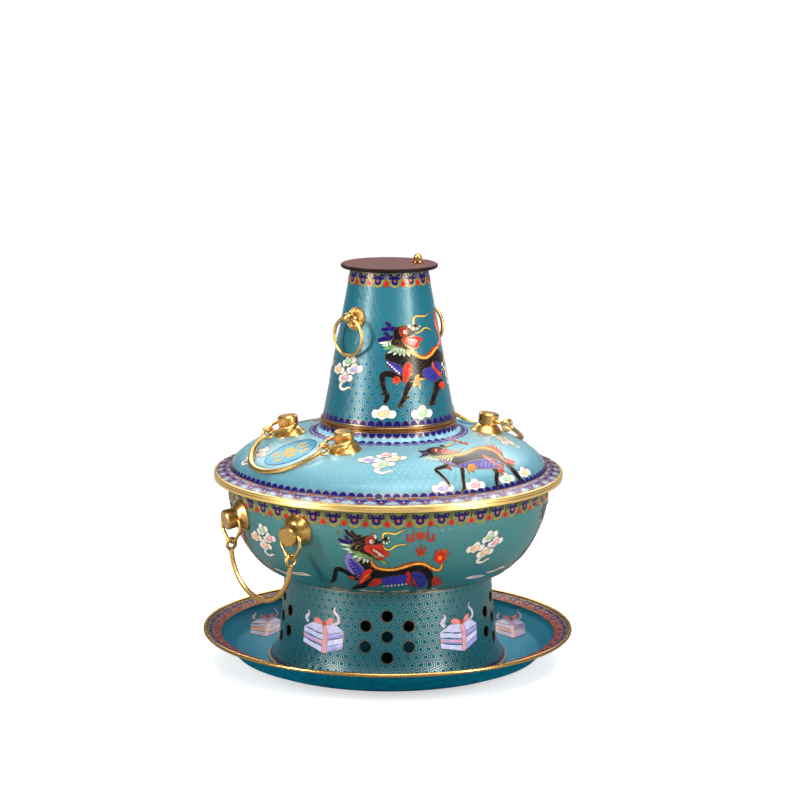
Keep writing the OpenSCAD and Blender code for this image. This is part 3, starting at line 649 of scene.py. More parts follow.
def cloud_head(orn, x, y, w, core, turn=0.0, layer=1):
    """A lobed white cloud with a coloured heart."""
    shape = [(-1, -0.05), (-0.8, 0.3), (-0.45, 0.28), (-0.1, 0.62), (0.3, 0.56), (0.45, 0.26), (0.85, 0.22),
             (1, -0.12), (0.7, -0.42), (0.25, -0.34), (-0.15, -0.52), (-0.5, -0.34), (-0.8, -0.4)]
    c, d = math.cos(turn), math.sin(turn)

    def at(points, k):
        return [(x + (p[0] * c - p[1] * d) * k, y + (p[0] * d + p[1] * c) * k) for p in points]
    soft = {"yellow": "peach", "orange": "peach", "mint": "sage", "green": "sage", "pink": "rose",
            "lilac": "mauve"}
    orn.blob("white", at(shape, w / 2), layer, 0.45, 3)
    orn.blob(soft.get(core, core), at(shape[::2], w / 4), layer + 1, 0.35, 3)
    curl = at([(-0.1, 0.12), (0.16, 0.16), (0.12, -0.1)], w / 2)
    orn.stroke("white", curl, [0.3, 0.8, 0.3], layer + 2, 0, 3)


def cloud_group(orn, k, cores=("yellow", "mint", "pink", "orange"), tail=True):
    """Four cloud heads round a middle, and a curled tail."""
    if tail:
        line = [(4, -6), (-2, -11), (-3, -14.5), (2, -16), (8, -13.5), (10.5, -14.5)]
        orn.stroke("white", scaled(line, k), [w * k for w in (1.2, 3.6, 3.6, 2.6, 1.8, 0.6)], 0, 0.4)
    heads = ((-9.5, 0.5, 19, 0.05, 1), (3.5, 9.5, 18, 0.4, 1), (11, 3, 18, 0.25, 2), (2, -5.5, 18.5, 0.15, 3))
    for core, (x, y, w, turn, layer) in zip(cores, heads):
        cloud_head(orn, x * k, y * k, w * k, core, turn, layer)


def cloud_strip(orn, x, y, w, flip=1):
    """A long flat cloud, as in the row under the beasts."""
    f = flip * w / 20
    line = [(-10, 0), (-5, 0.8), (0, -0.3), (6, -0.8), (10, -0.2)]
    orn.stroke("white", moved(scaled(line, f, 1), x, y), [1.0, 4.4, 4.8, 3.6, 1.0], 1, 0.4)
    orn.stroke("rose", moved(scaled([(-4, 0.6), (0, -0.1), (4, -0.6)], f, 1), x, y), [0.3, 0.9, 0.3], 2, 0.3)


def books(orn, k, wire=0.45):
    """Three books tied with a ribbon, seen from a corner, with the ribbon's bow and tails above."""
    tall = 0.74

    def q(*pts):
        return scaled(pts, k, k * tall)

    def page(colour, *pts):
        orn.cell(colour, q(*pts), 1, wire)

    def step(p, r, t):
        return (p[0] + (r[0] - p[0]) * t, p[1] + (r[1] - p[1]) * t)
    a, b, c, d = (-17, 6.5), (-9, 12), (9, 14.5), (17, 7.5)
    e, f, g, h = (3, 3.2), (2.5, -14.5), (16.5, -7.5), (-17, -8)
    orn.stroke("pale", q((-13, 11), (-15, 15), (-12.5, 19), (-13.5, 22)), [2.4 * k, 3.2 * k, 2 * k, 0.8 * k])
    tail = q((9, 13), (12.5, 16), (12, 21), (9, 25), (9.6, 29))
    orn.stroke("pale", tail, [w * k for w in (1.6, 2.2, 2, 1.6, 0.6)])
    page("pale", a, b, c, d, e)
    for i in range(3):
        lo, hi = i / 3, (i + 1) / 3 - 0.035
        left, right = ("mauve", "pale") if i == 1 else ("pale", "mauve")
        page(left, step(h, a, lo), step(h, a, hi), step(f, e, hi), step(f, e, lo))
        page(right, step(f, e, lo), step(f, e, hi), step(g, d, hi), step(g, d, lo))
        one, corner, other = (step(p, r, (lo + hi) / 2) for p, r in ((h, a), (f, e), (g, d)))
        orn.line(q(one, corner), 0.8 * wire * k, 1)
        orn.line(q(corner, other), 0.8 * wire * k, 1)
    for ribbon in (((1.2, 3.4), (4.8, 3.9), (4.4, -13.6), (0.6, -14.2)),
                   ((-0.5, 13.4), (2.2, 13.8), (4.8, 3.9), (1.2, 3.4)),
                   ((-17, -2.4), (-17, 0.2), (2.8, -4.2), (2.8, -6.8))):
        orn.cell("rose", q(*ribbon), 2, wire)
    orn.blob("pink", q((1, 12.5), (-3.5, 17), (-7.5, 16.5), (-6.5, 12.5)), 3, wire)
    orn.blob("pink", q((2, 12.5), (5, 18), (8.5, 18.5), (7, 13)), 3, wire)
    orn.disc("red", 1.6 * k, 12.8 * k * tall, 1.5 * k, 4, wire)


def medallion(orn):
    """The tilted oval on the lid as the front view shows it: a plain gold flower between two sprays."""
    tilt = math.radians(21)
    c, d = math.cos(tilt), math.sin(tilt)

    def tilted(points):
        return [(x * c - y * d, x * d + y * c) for x, y in points]

    def oval(colour, x, y, a, b, layer, n=56):
        orn.cell(colour, tilted(polar(x, y, a, b, n)), layer, 0, 2)
    oval("navy", 0, 0, 26.2, 8.3, 0)
    oval("turq", 0, 0, 25.3, 7.6, 1)
    for x, y in polar(0, 0, 4.4, 3.2, 6):
        oval("gold", x, y, 2.2, 1.5, 2, 12)
    oval("gold", 0, 0, 1.7, 1.2, 3, 12)
    for s in (-1, 1):
        for line, w in (([(7, 0.4), (10.5, 3.8), (15, 3.0), (19, 3.4)], [0.5, 1.5, 1.3, 0.3]),
                        ([(7, -0.4), (11, -3.4), (15.5, -2.4), (19.5, -2.8)], [0.5, 1.5, 1.3, 0.3]),
                        ([(9, 0.2), (13, 0.7), (18.5, 0.1)], [0.4, 1.4, 0.4])):
            orn.stroke("gold", tilted(scaled(line, s, 1)), w, 2, 0)


def pearl(orn):
    """The flaming pearl: a ringed disc with three forked flames."""
    orn.disc("red", 0, 0, 3.9, 1, 0.6, 18)
    orn.disc("brick", 0, 0, 2.4, 2, 0.5, 14)
    orn.disc("red", 0, 0, 1.2, 3, 0.3, 10)
    for x, y, tongues in ((-9.4, 0.4, ((2.4, 5.4), (-2.4, 1.6))), (9.4, 0.8, ((-2.4, 5.4), (2.4, 1.6))),
                          (0.2, -12.5, ((-3.2, 2.0), (0, 4.6), (3.2, 3.2)))):
        for dx, top in tongues:
            orn.stroke("red", moved([(dx * 0.6, -4.2), (dx, -2), (dx * 1.15, top)], x, y), [1.0, 2.4, 0.5], 1)
        cup = [(-3.4, -2.4), (-1.5, -5), (1.5, -5), (3.4, -2.4)]
        orn.stroke("red", moved(cup, x, y), [1.2, 2.6, 2.6, 1.2], 1)


def scales(orn, outline, pitch, layer):
    """Rows of little gilt arcs inside an outline."""
    (x0, y), (x1, y1) = ([f(p[i] for p in outline) for i in (0, 1)] for f in (min, max))
    row = 0
    while y < y1:
        x = x0 + (pitch / 2 if row % 2 else 0)
        while x < x1:
            arc = polar(x, y, pitch * 0.5, -pitch * 0.45, 5, 180, 1)
            if all(winding(p, outline) for p in arc):
                orn.line(arc, 0.24, layer, colour="thread")
            x += pitch
        y += pitch * 0.55
        row += 1


class Sketch:
    """A drawing on its own grid of points, u to the right and v down, k of them to the mm."""

    def __init__(self, orn, u0, v0, k):
        self.orn, self.u0, self.v0, self.k = orn, u0, v0, k

    def to(self, points):
        return [((u - self.u0) / self.k, (self.v0 - v) / self.k) for u, v in points]

    def blob(self, colour, points, layer=1, wire=0.4, n=3):
        self.orn.blob(colour, self.to(points), layer, wire, n)

    def stroke(self, colour, points, width, layer=1, wire=0.35, n=4):
        self.orn.stroke(colour, self.to(points), [w / self.k for w in width], layer, wire, n)

    def disc(self, colour, u, v, r, layer=1, wire=0.3):
        (x, y), = self.to([(u, v)])
        self.orn.disc(colour, x, y, r / self.k, layer, wire, 12)

    def scales(self, outline, pitch, layer):
        scales(self.orn, spline(self.to(outline), 3, True), pitch / self.k, layer)

    def flame(self, tips, root, layer=3, colour="red", edge="orange"):
        """Tongues from one root: each tip is (u, v, width)."""
        for u, v, w in tips:
            mid = ((u + root[0]) / 2 + (v - root[1]) * 0.12, (v + root[1]) / 2 - (u - root[0]) * 0.12)
            self.stroke(edge, [root, mid, (u, v)], [w * 0.7, w, w * 0.12], layer)
            self.stroke(colour, [root, mid, ((u * 3 + mid[0]) / 4, (v * 3 + mid[1]) / 4)],
                        [w * 0.6, w * 0.6, w * 0.1], layer + 2, 0)

    def mane(self, root, tips, shift, widths, layer):
        """Locks from one root: each tip is (u, v, colour)."""
        for u, v, colour in tips:
            mid = ((root[0] + 2 * u) / 3 + shift, (root[1] + 2 * v) / 3)
            self.stroke(colour, [root, mid, (u, v)], widths, layer, 0.3, 3)

    def teeth(self, spots, shape):
        for u, v in spots:
            self.blob("white", moved(shape, u, v), 7, 0.2, 2)

    def ridge(self, line, widths, cores):
        """The golden line along a beast's back."""
        self.stroke("orange", line, widths, 4)
        self.stroke("yellow", line, cores, 5, 0)


def running_beast(orn, k):
    """The galloping scaled beast with a flaming tail, looking back over its shoulder to the right."""
    b = Sketch(orn, 650, 560, k)
    body = [(330, 650), (420, 640), (460, 690), (540, 745), (650, 765), (780, 745), (900, 705), (1000, 710),
            (1060, 760), (1085, 840), (1070, 960), (1030, 965), (1030, 880), (960, 800), (820, 800),
            (640, 830), (520, 850), (440, 930), (300, 972), (262, 965), (340, 900), (420, 820), (380, 740)]
    b.stroke("black", [(340, 840), (270, 832), (210, 785), (120, 752), (95, 790), (86, 850), (52, 905)],
             [60, 52, 40, 44, 40, 44, 34], 1)
    for u, v in ((36, 905), (52, 916), (72, 908)):
        b.stroke("black", [(60, 890), (u, v)], [14, 4], 1, 0.2, 2)
    b.blob("lilac", [(205, 590), (250, 590), (300, 660), (380, 740), (400, 830), (330, 850), (240, 780),
                     (190, 690)])
    b.blob("blue", [(250, 640), (300, 680), (370, 750), (390, 830), (330, 835), (270, 760), (235, 690)], 2)
    for i in range(7):
        b.stroke("pale", [(206 + 20 * i, 640 + 30 * i), (235 + 19 * i, 652 + 27 * i)], [8, 4], 3, 0.2, 2)
    b.blob("black", body, 2)
    b.scales([(370, 690), (450, 720), (560, 775), (700, 785), (900, 735), (1000, 740), (1060, 830),
              (1050, 940), (1010, 850), (950, 790), (820, 790), (640, 815), (500, 830), (440, 800)], 46, 2)
    b.blob("blue", [(560, 845), (640, 822), (760, 806), (850, 815), (850, 900), (760, 930), (640, 940),
                    (590, 930)], 3)
    for i in range(7):
        b.disc("pale", 590 + 37 * i, 932 - 4 * i, 15, 4)
    b.blob("blue", [(850, 800), (930, 770), (1000, 810), (1020, 880), (985, 945), (905, 950), (860, 890)], 3)
    b.scales([(870, 810), (930, 785), (1000, 830), (1005, 900), (960, 935), (900, 930), (870, 880)], 40, 3)
    b.stroke("red", [(820, 780), (850, 830), (830, 870), (870, 930)], [46, 40, 44, 18], 4)
    b.stroke("red", [(880, 850), (900, 900), (930, 955)], [20, 26, 12], 4)
    b.blob("red", [(385, 775), (450, 745), (475, 770), (440, 810), (460, 830), (410, 870), (345, 915),
                   (325, 905), (340, 850)], 4)
    b.stroke("orange", [(350, 890), (400, 830), (455, 790)], [8, 14, 6], 5, 0)
    b.flame([(590, 862, 26), (588, 892, 24), (560, 848, 22), (556, 915, 22)], (430, 915))
    b.blob("red", [(425, 915), (480, 872), (545, 860), (560, 888), (510, 925), (450, 935)], 5, 0.3)
    b.flame([(268, 868, 26), (300, 862, 22), (284, 878, 20)], (240, 835))
    b.flame([(1135, 822, 24), (1175, 880, 24), (1190, 915, 22), (1140, 945, 24), (1170, 850, 22)],
            (1075, 890))
    b.blob("red", [(1085, 880), (1120, 855), (1150, 885), (1130, 925), (1090, 925)], 5, 0.3)
    ridge = [(455, 660), (495, 722), (580, 750), (690, 752), (800, 722), (900, 693), (990, 695), (1060, 735),
             (1120, 762), (1160, 740), (1172, 690)]
    for u, v, w in ((500, 680, 22), (540, 712, 20), (590, 722, 20), (650, 726, 20), (710, 722, 22),
                    (765, 704, 20), (815, 684, 24), (865, 668, 24), (920, 660, 24), (975, 662, 22),
                    (1030, 680, 22), (1085, 712, 24)):
        b.stroke("red", [(u - 46, v + 36), (u - 14, v + 24), (u, v)], [w, w * 1.3, 4], 2, 0.3, 2)
    b.ridge(ridge, [16, 26, 28, 28, 28, 28, 28, 30, 32, 26, 18], [5, 8, 10, 10, 10, 10, 10, 10, 10, 8, 5])
    b.flame([(1112, 545, 34), (1150, 536, 36), (1192, 538, 36), (1246, 535, 36), (1258, 580, 30),
             (1236, 640, 30)], (1150, 660))
    b.blob("red", [(1090, 640), (1105, 590), (1150, 570), (1195, 590), (1205, 640), (1170, 685),
                   (1120, 680)], 5, 0.3)
    b.disc("orange", 1150, 630, 22, 6, 0)
    head(b)


def head(b):
    """The beast's head, on the running beast's grid."""
    b.stroke("black", [(195, 345), (240, 395), (300, 420), (360, 415)], [24, 34, 40, 44], 2)
    b.stroke("black", [(262, 352), (275, 385), (310, 410)], [22, 30, 32], 2)
    b.stroke("navy", [(130, 440), (180, 465), (250, 470), (330, 450)], [24, 36, 42, 48], 2)
    b.stroke("navy", [(195, 405), (220, 440), (250, 462)], [22, 30, 32], 2)
    b.mane((400, 560), ((160, 540, "mint"), (130, 488, "mint"), (190, 515, "green"), (215, 575, "mint"),
                        (250, 640, "mint"), (310, 672, "white"), (375, 690, "mint"), (420, 686, "white"),
                        (470, 660, "mint"), (530, 668, "green"), (610, 700, "mint")), 10, [60, 34, 5], 2)
    b.stroke("olive", [(105, 350), (128, 372), (136, 400)], [6, 16, 6], 2, 0.3)
    b.blob("green", [(250, 520), (320, 470), (400, 500), (480, 600), (470, 650), (400, 630), (300, 600)], 3)
    b.blob("black", [(270, 440), (330, 428), (395, 408), (470, 404), (515, 425), (525, 458), (560, 452),
                     (590, 428), (612, 440), (590, 470), (520, 488), (440, 500), (400, 540), (450, 592),
                     (520, 640), (560, 650), (530, 655), (420, 600), (330, 560), (300, 500)], 4)
    b.blob("black", [(255, 532), (305, 482), (355, 488), (358, 530), (330, 560), (290, 560)], 5)
    b.stroke("olive", [(300, 545), (318, 508), (345, 505)], [6, 10, 4], 6, 0.3)
    b.blob("brick", [(396, 432), (440, 408), (488, 420), (498, 470), (450, 496), (412, 490), (400, 462)], 5)
    b.disc("white", 462, 462, 22, 6)
    b.disc("black", 468, 462, 9, 7, 0)
    b.blob("white", [(478, 400), (500, 392), (516, 412), (506, 436), (490, 424)], 5)
    b.stroke("red", [(455, 388), (480, 380), (500, 392)], [6, 12, 5], 6, 0.3)
    b.blob("red", [(385, 528), (400, 504), (450, 496), (500, 502), (560, 480), (572, 505), (600, 548),
                   (655, 598), (610, 612), (590, 640), (548, 644), (505, 608), (450, 585), (400, 562)], 5)
    b.blob("brick", [(430, 535), (500, 520), (570, 560), (600, 596), (560, 625), (500, 590)], 6, 0.3)
    b.teeth([(490 + 22 * i, 545 + 15 * i) for i in range(5)], [(-11, -8), (9, -2), (4, 20), (-6, 14)])
    b.teeth([(540 + 20 * i, 606 + 4 * i) for i in range(3)], [(-9, 4), (9, 4), (0, -14)])
    b.disc("black", 605, 434, 21, 6)
    for u, v, r in ((585, 470, 16), (615, 478, 13), (640, 462, 10), (632, 425, 12)):
        b.disc("mint", u, v, r, 5)
    horn = [(575, 430), (582, 385), (630, 376), (700, 384), (750, 362), (798, 338)]
    b.stroke("yellow", horn, [22, 22, 20, 18, 16, 7], 4)
    whisker = [(578, 495), (600, 538), (650, 542), (700, 508), (755, 492), (822, 494)]
    b.stroke("yellow", whisker, [10, 20, 18, 18, 16, 7], 4)
    b.stroke("green", [(540, 662), (590, 668), (628, 700)], [14, 26, 5], 3)


def rearing_beast(orn, k):
    """The leaping scaled beast with its tail held high."""
    b = Sketch(orn, 450, 640, k)
    tail = [(875, 590), (930, 500), (905, 400), (860, 310), (850, 220), (838, 90)]
    b.stroke("red", tail, [34, 48, 46, 40, 30, 6])
    b.stroke("pink", [(880, 570), (915, 490), (890, 400), (855, 310), (848, 220)], [10, 16, 14, 12, 6], 2, 0)
    b.stroke("black", [(440, 980), (370, 1000), (280, 962), (165, 975), (168, 1100), (192, 1190),
                       (225, 1262), (190, 1345)], [110, 96, 80, 78, 62, 54, 66, 44], 1)
    b.stroke("black", [(600, 990), (505, 1110), (468, 1200), (448, 1280), (385, 1372)], [120, 90, 62, 62, 46])
    hind = [(880, 1000), (890, 1070), (862, 1180), (826, 1290), (786, 1372)]
    b.stroke("black", hind, [130, 100, 66, 62, 46])
    for u, v in ((150, 1090), (180, 1210), (478, 1262), (392, 1372), (870, 1170), (820, 1340)):
        b.stroke("black", [(u - 30, v + 22), (u + 5, v), (u + 45, v + 6)], [14, 44, 10], 2, 0.3, 2)
    b.flame([(290, 1080, 50), (345, 1110, 50), (395, 1060, 44)], (330, 1000))
    b.flame([(950, 1170, 44), (985, 1120, 40)], (920, 1060))
    body = [(200, 700), (260, 650), (380, 660), (500, 660), (560, 700), (650, 750), (760, 745), (820, 680),
            (880, 630), (930, 660), (965, 760), (970, 900), (930, 1010), (860, 1060), (760, 1030),
            (640, 1010), (540, 1060), (430, 1000), (330, 950), (250, 880), (205, 790)]
    b.blob("black", body, 2)
    b.scales(body, 66, 2)
    b.blob("blue", [(205, 770), (270, 800), (400, 850), (420, 950), (380, 970), (280, 900), (220, 830)], 3)
    for i in range(6):
        b.disc("pale", 225 + 30 * i, 812 + 27 * i, 17, 4)
    b.blob("blue", [(690, 900), (780, 860), (860, 780), (950, 860), (950, 960), (870, 1045), (780, 1040),
                    (700, 990)], 3)
    b.scales([(700, 910), (780, 880), (860, 800), (940, 870), (935, 950), (870, 1030), (790, 1025),
              (715, 980)], 60, 3)
    b.flame([(430, 1070, 60), (520, 880, 46), (455, 850, 46), (545, 960, 40)], (470, 980), 4)
    b.blob("red", [(430, 870), (500, 800), (545, 900), (500, 1000), (440, 1080), (420, 980)], 5, 0.35)
    b.flame([(555, 1105, 40), (640, 960, 40), (710, 1020, 40), (655, 1150, 36)], (600, 1060),
            4, "orange", "yellow")
    b.flame([(815, 780, 36), (935, 1015, 40), (880, 900, 36)], (850, 900), 4)
    b.disc("red", 925, 1095, 30, 3)
    ridge = [(540, 650), (590, 700), (650, 735), (730, 742), (800, 690), (850, 620), (890, 585)]
    for u, v in ((600, 660), (660, 692), (730, 694), (790, 648), (835, 590)):
        b.stroke("red", [(u - 40, v + 50), (u - 8, v + 30), (u + 8, v)], [30, 34, 6], 2, 0.3, 2)
    b.ridge(ridge, [20, 36, 38, 38, 36, 34, 24], [6, 12, 12, 12, 12, 10, 6])
    for pts, w in (([(140, 376), (205, 374), (262, 362), (330, 380), (380, 400)], [40, 56, 60, 70, 70]),
                   ([(196, 288), (236, 312), (268, 356)], [30, 52, 56]),
                   ([(96, 524), (160, 504), (220, 492), (300, 492), (370, 510)], [40, 56, 60, 70, 70]),
                   ([(180, 418), (218, 446), (246, 484)], [30, 50, 56])):
        b.stroke("navy", pts, w, 2)
    b.mane((380, 560), ((150, 590, "mint"), (110, 555, "white"), (170, 640, "green"), (225, 690, "mint"),
                        (300, 712, "white"), (380, 722, "mint"), (440, 732, "white"), (512, 730, "mint"),
                        (565, 700, "green"), (620, 720, "mint")), 14, [80, 48, 8], 3)
    b.blob("green", [(230, 560), (300, 500), (400, 560), (520, 640), (500, 690), (400, 690), (290, 660)], 3)
    b.blob("black", [(300, 400), (350, 350), (430, 322), (490, 325), (535, 375), (575, 350), (590, 400),
                     (555, 450), (490, 478), (432, 540), (480, 600), (540, 645), (470, 640), (390, 600),
                     (270, 570), (300, 480)], 4)
    b.blob("brick", [(370, 370), (430, 340), (480, 360), (490, 430), (440, 468), (390, 455)], 5)
    b.disc("white", 452, 408, 26, 6)
    b.disc("black", 460, 408, 11, 7, 0)
    b.disc("pale", 505, 330, 22, 5)
    b.blob("red", [(400, 520), (440, 480), (510, 470), (600, 462), (690, 490), (650, 530), (620, 610),
                   (560, 618), (480, 570)], 5)
    b.blob("pink", [(450, 520), (520, 500), (590, 505), (600, 560), (540, 580), (480, 550)], 6, 0.3)
    b.teeth([(490 + 36 * i, 500 + 6 * i) for i in range(4)], [(-14, -10), (12, -8), (2, 24)])
    b.disc("black", 585, 322, 26, 6)
    for u, v, r in ((560, 365, 22), (610, 360, 18), (640, 330, 14), (560, 290, 16)):
        b.disc("mint", u, v, r, 5)
    b.stroke("yellow", [(556, 300), (560, 245), (585, 202), (650, 196), (710, 192), (762, 142)],
             [20, 26, 24, 22, 18, 7], 4)
    b.stroke("yellow", [(600, 430), (655, 395), (705, 350), (750, 352), (795, 382)], [12, 22, 22, 18, 7], 4)


def standing_beast(orn, k):
    """The standing scaled beast of the lid, drawn as the front view shows it there."""
    b = Sketch(orn, 700, 300, k)
    for line, w in (([(400, 375), (330, 392), (262, 416), (300, 452), (350, 500), (388, 540), (412, 588)],
                     [44, 36, 30, 26, 26, 24, 30]),
                    ([(540, 395), (548, 470), (552, 540), (560, 600), (530, 648)], [50, 38, 32, 36, 22]),
                    ([(880, 395), (908, 450), (900, 520), (914, 604)], [56, 46, 36, 30]),
                    ([(950, 300), (1015, 350), (1072, 412), (1122, 472), (1184, 556)], [70, 56, 42, 40, 30])):
        b.stroke("black", line, w, 1)
    body = [(300, 300), (380, 285), (450, 290), (520, 285), (600, 270), (680, 235), (760, 215), (840, 222),
            (900, 250), (962, 300), (1010, 350), (985, 388), (930, 400), (860, 406), (780, 410), (690, 405),
            (600, 400), (520, 388), (430, 368), (350, 345)]
    b.blob("black", body, 2)
    b.scales(body, 60, 2)
    b.blob("blue", [(480, 380), (560, 352), (640, 330), (730, 318), (820, 306), (900, 318), (962, 366),
                    (930, 400), (860, 410), (760, 412), (640, 406), (560, 396)], 3)
    for i in range(10):
        fold = [(520 + 44 * i, 384 + (4 - abs(i - 5)) * 2), (534 + 44 * i, 352 - 2 * i)]
        b.stroke("lilac", fold, [10, 3], 4, 0.2, 2)
    b.blob("lilac", [(300, 312), (360, 322), (440, 350), (500, 384), (430, 376), (350, 350)], 3)
    b.stroke("red", [(760, 276), (840, 318), (900, 366), (990, 402)], [16, 24, 18, 8], 4)
    b.stroke("pink", [(770, 284), (840, 324), (900, 370)], [4, 8, 5], 5, 0)
    b.flame([(680, 372, 26), (704, 410, 26), (672, 446, 24), (618, 458, 22)], (600, 396),
            4, "orange", "yellow")
    b.flame([(1056, 306, 22), (1118, 352, 24), (1112, 386, 20)], (1006, 346))
    b.flame([(986, 420, 20), (1004, 452, 20), (984, 482, 18)], (920, 432))
    b.flame([(420, 398, 18), (432, 424, 18)], (384, 392))
    b.stroke("black", [(965, 312), (975, 270), (950, 240)], [30, 24, 18], 2)
    b.flame([(816, 152, 26), (866, 156, 30), (916, 178, 30), (962, 214, 26), (980, 250, 22)], (946, 250))
    ridge = [(430, 272), (500, 270), (560, 262), (620, 240), (680, 213), (750, 198), (820, 203), (880, 228),
             (940, 272), (992, 330)]
    for u, v in ((620, 214), (680, 190), (740, 176), (800, 176), (860, 194)):
        b.stroke("red", [(u - 36, v + 32), (u - 8, v + 20), (u + 10, v)], [16, 20, 4], 2, 0.3, 2)
    b.ridge(ridge, [10, 16, 18, 20, 20, 20, 20, 20, 18, 12], [3, 5, 6, 7, 7, 7, 7, 6, 5, 3])
    for i in range(9):
        lock = moved([(26, 0), (4, 38), (-2, 64)], 176 + 30 * i, 262 + 3 * i)
        b.stroke("white" if i % 2 else "mint", lock, [20, 14, 4], 2, 0.3, 2)
    for line, w in (([(200, 232), (136, 236), (86, 228)], [30, 24, 8]),
                    ([(196, 258), (146, 268), (94, 294)], [30, 24, 8]), ([(170, 246), (120, 254)], [16, 8])):
        b.stroke("navy", line, w, 2)
    b.blob("green", [(190, 266), (260, 250), (400, 262), (480, 256), (440, 292), (320, 300), (230, 290)], 3)
    b.blob("black", [(166, 222), (228, 196), (300, 194), (350, 204), (420, 226), (470, 232), (430, 262),
                     (330, 278), (250, 278), (190, 262)], 4)
    b.blob("brick", [(216, 214), (262, 202), (312, 210), (330, 230), (290, 244), (238, 238)], 5)
    b.disc("white", 272, 222, 14, 6)
    b.disc("black", 277, 222, 6, 7, 0)
    b.blob("red", [(318, 218), (372, 212), (440, 230), (496, 236), (460, 256), (390, 262), (336, 250)], 5)
    for i in range(4):
        b.blob("white", [(370 + 26 * i, 236), (386 + 26 * i, 238), (376 + 26 * i, 250)], 6, 0.2, 2)
    b.stroke("black", [(312, 172), (340, 180), (372, 200)], [8, 16, 12], 5)
    b.disc("mint", 352, 204, 10, 6)
    b.stroke("yellow", [(366, 196), (400, 170), (440, 160), (476, 134)], [10, 14, 12, 5], 4)
    b.stroke("yellow", [(480, 232), (520, 226), (556, 208)], [8, 12, 5], 4)
    b.stroke("green", [(500, 250), (540, 256), (584, 244)], [8, 18, 6], 3)
    for u, v in ((420, 108), (470, 120), (540, 142), (592, 152)):
        b.stroke("red", [(u - 26, v - 12), (u, v), (u + 26, v + 10)], [8, 20, 6])


# ---------------------------------------------------------------- the decoration of each shell
HALF_TURNS = [0.0, math.pi]
QUARTER_TURNS = [math.radians(90 * i) for i in range(4)]


def border(face, s, count, r, h, az=0.0):
    """A border that repeats count times round a face at the radius r, and the width of one copy."""
    pitch = TAU * r / count
    turns = [TAU * i / count for i in range(count)]
    return Ornament(face, face.band(math.radians(az), s, count, pitch), h, turns), pitch


def laid(face, az, s, h, turns=(0.0,)):
    return Ornament(face, face.flat(math.radians(az), s), h, turns)


def drawn(face, az, s, h, turns=(0.0,)):
    return Ornament(face, face.seen(math.radians(az), s), h, turns)


def olive_field(orn, half):
    """The ground of a border, from the right half of its outline, with a wire along its lower edge."""
    field = [(-half[0][0], half[0][1])] + half + [(-x, y) for x, y in half[1:-1][::-1]]
    orn.cell("olive", field, 0, 0, 3)
    orn.line(field[2:], 0.5, 0)
    return field


def round_the_bowl():
    end = bowl_face.length
    band, pitch = border(bowl_face, end - 7.6, 48, 157, 0.14, -3.8)
    half = pitch / 2
    field = olive_field(band, [(half, 7), (half, -8.8), (pitch * 0.38, -9.8), (pitch * 0.28, -12.6),
                               (pitch * 0.14, -14.4), (0, -15.2)])
    band.line([(x * 0.86, y + 1.9) for x, y in field[3:-1]], 0.3, 0)
    ruyi(band, pitch * 0.74, -0.2, 11.4)
    drop(band, half, -10.6, 6.2, 6.8)
    band.blob("violet", [(half - 3.4, 3), (half, -1.6), (half + 3.4, 3)], 1, 0.3)
    band.line([(half, -2.4), (half, -7)], 0.4, 0)
    rings(bowl_face, end - 0.9, 0.9)

    running_beast(drawn(bowl_face, 1, bowl_face.s_at(144.2), 0.14, QUARTER_TURNS), 10.85)
    pearl(drawn(bowl_face, 11.5, bowl_face.s_at(159), 0.14, QUARTER_TURNS))
    cloud_group(laid(bowl_face, 37.5, bowl_face.s_at(141), 0.14, QUARTER_TURNS), 1.12)
    for az, z, strips in ((45, 105, ((-12, 4, 26, 1), (14, 8, 30, -1))),
                          (0, 97, ((-46, 1.5, 22, 1), (-15, 1.5, 24, 1), (12, 1.5, 20, -1),
                                   (38, 1.5, 24, -1)))):
        row = laid(bowl_face, az, bowl_face.s_at(z), 0.14, QUARTER_TURNS)
        for strip in strips:
            cloud_strip(row, *strip)


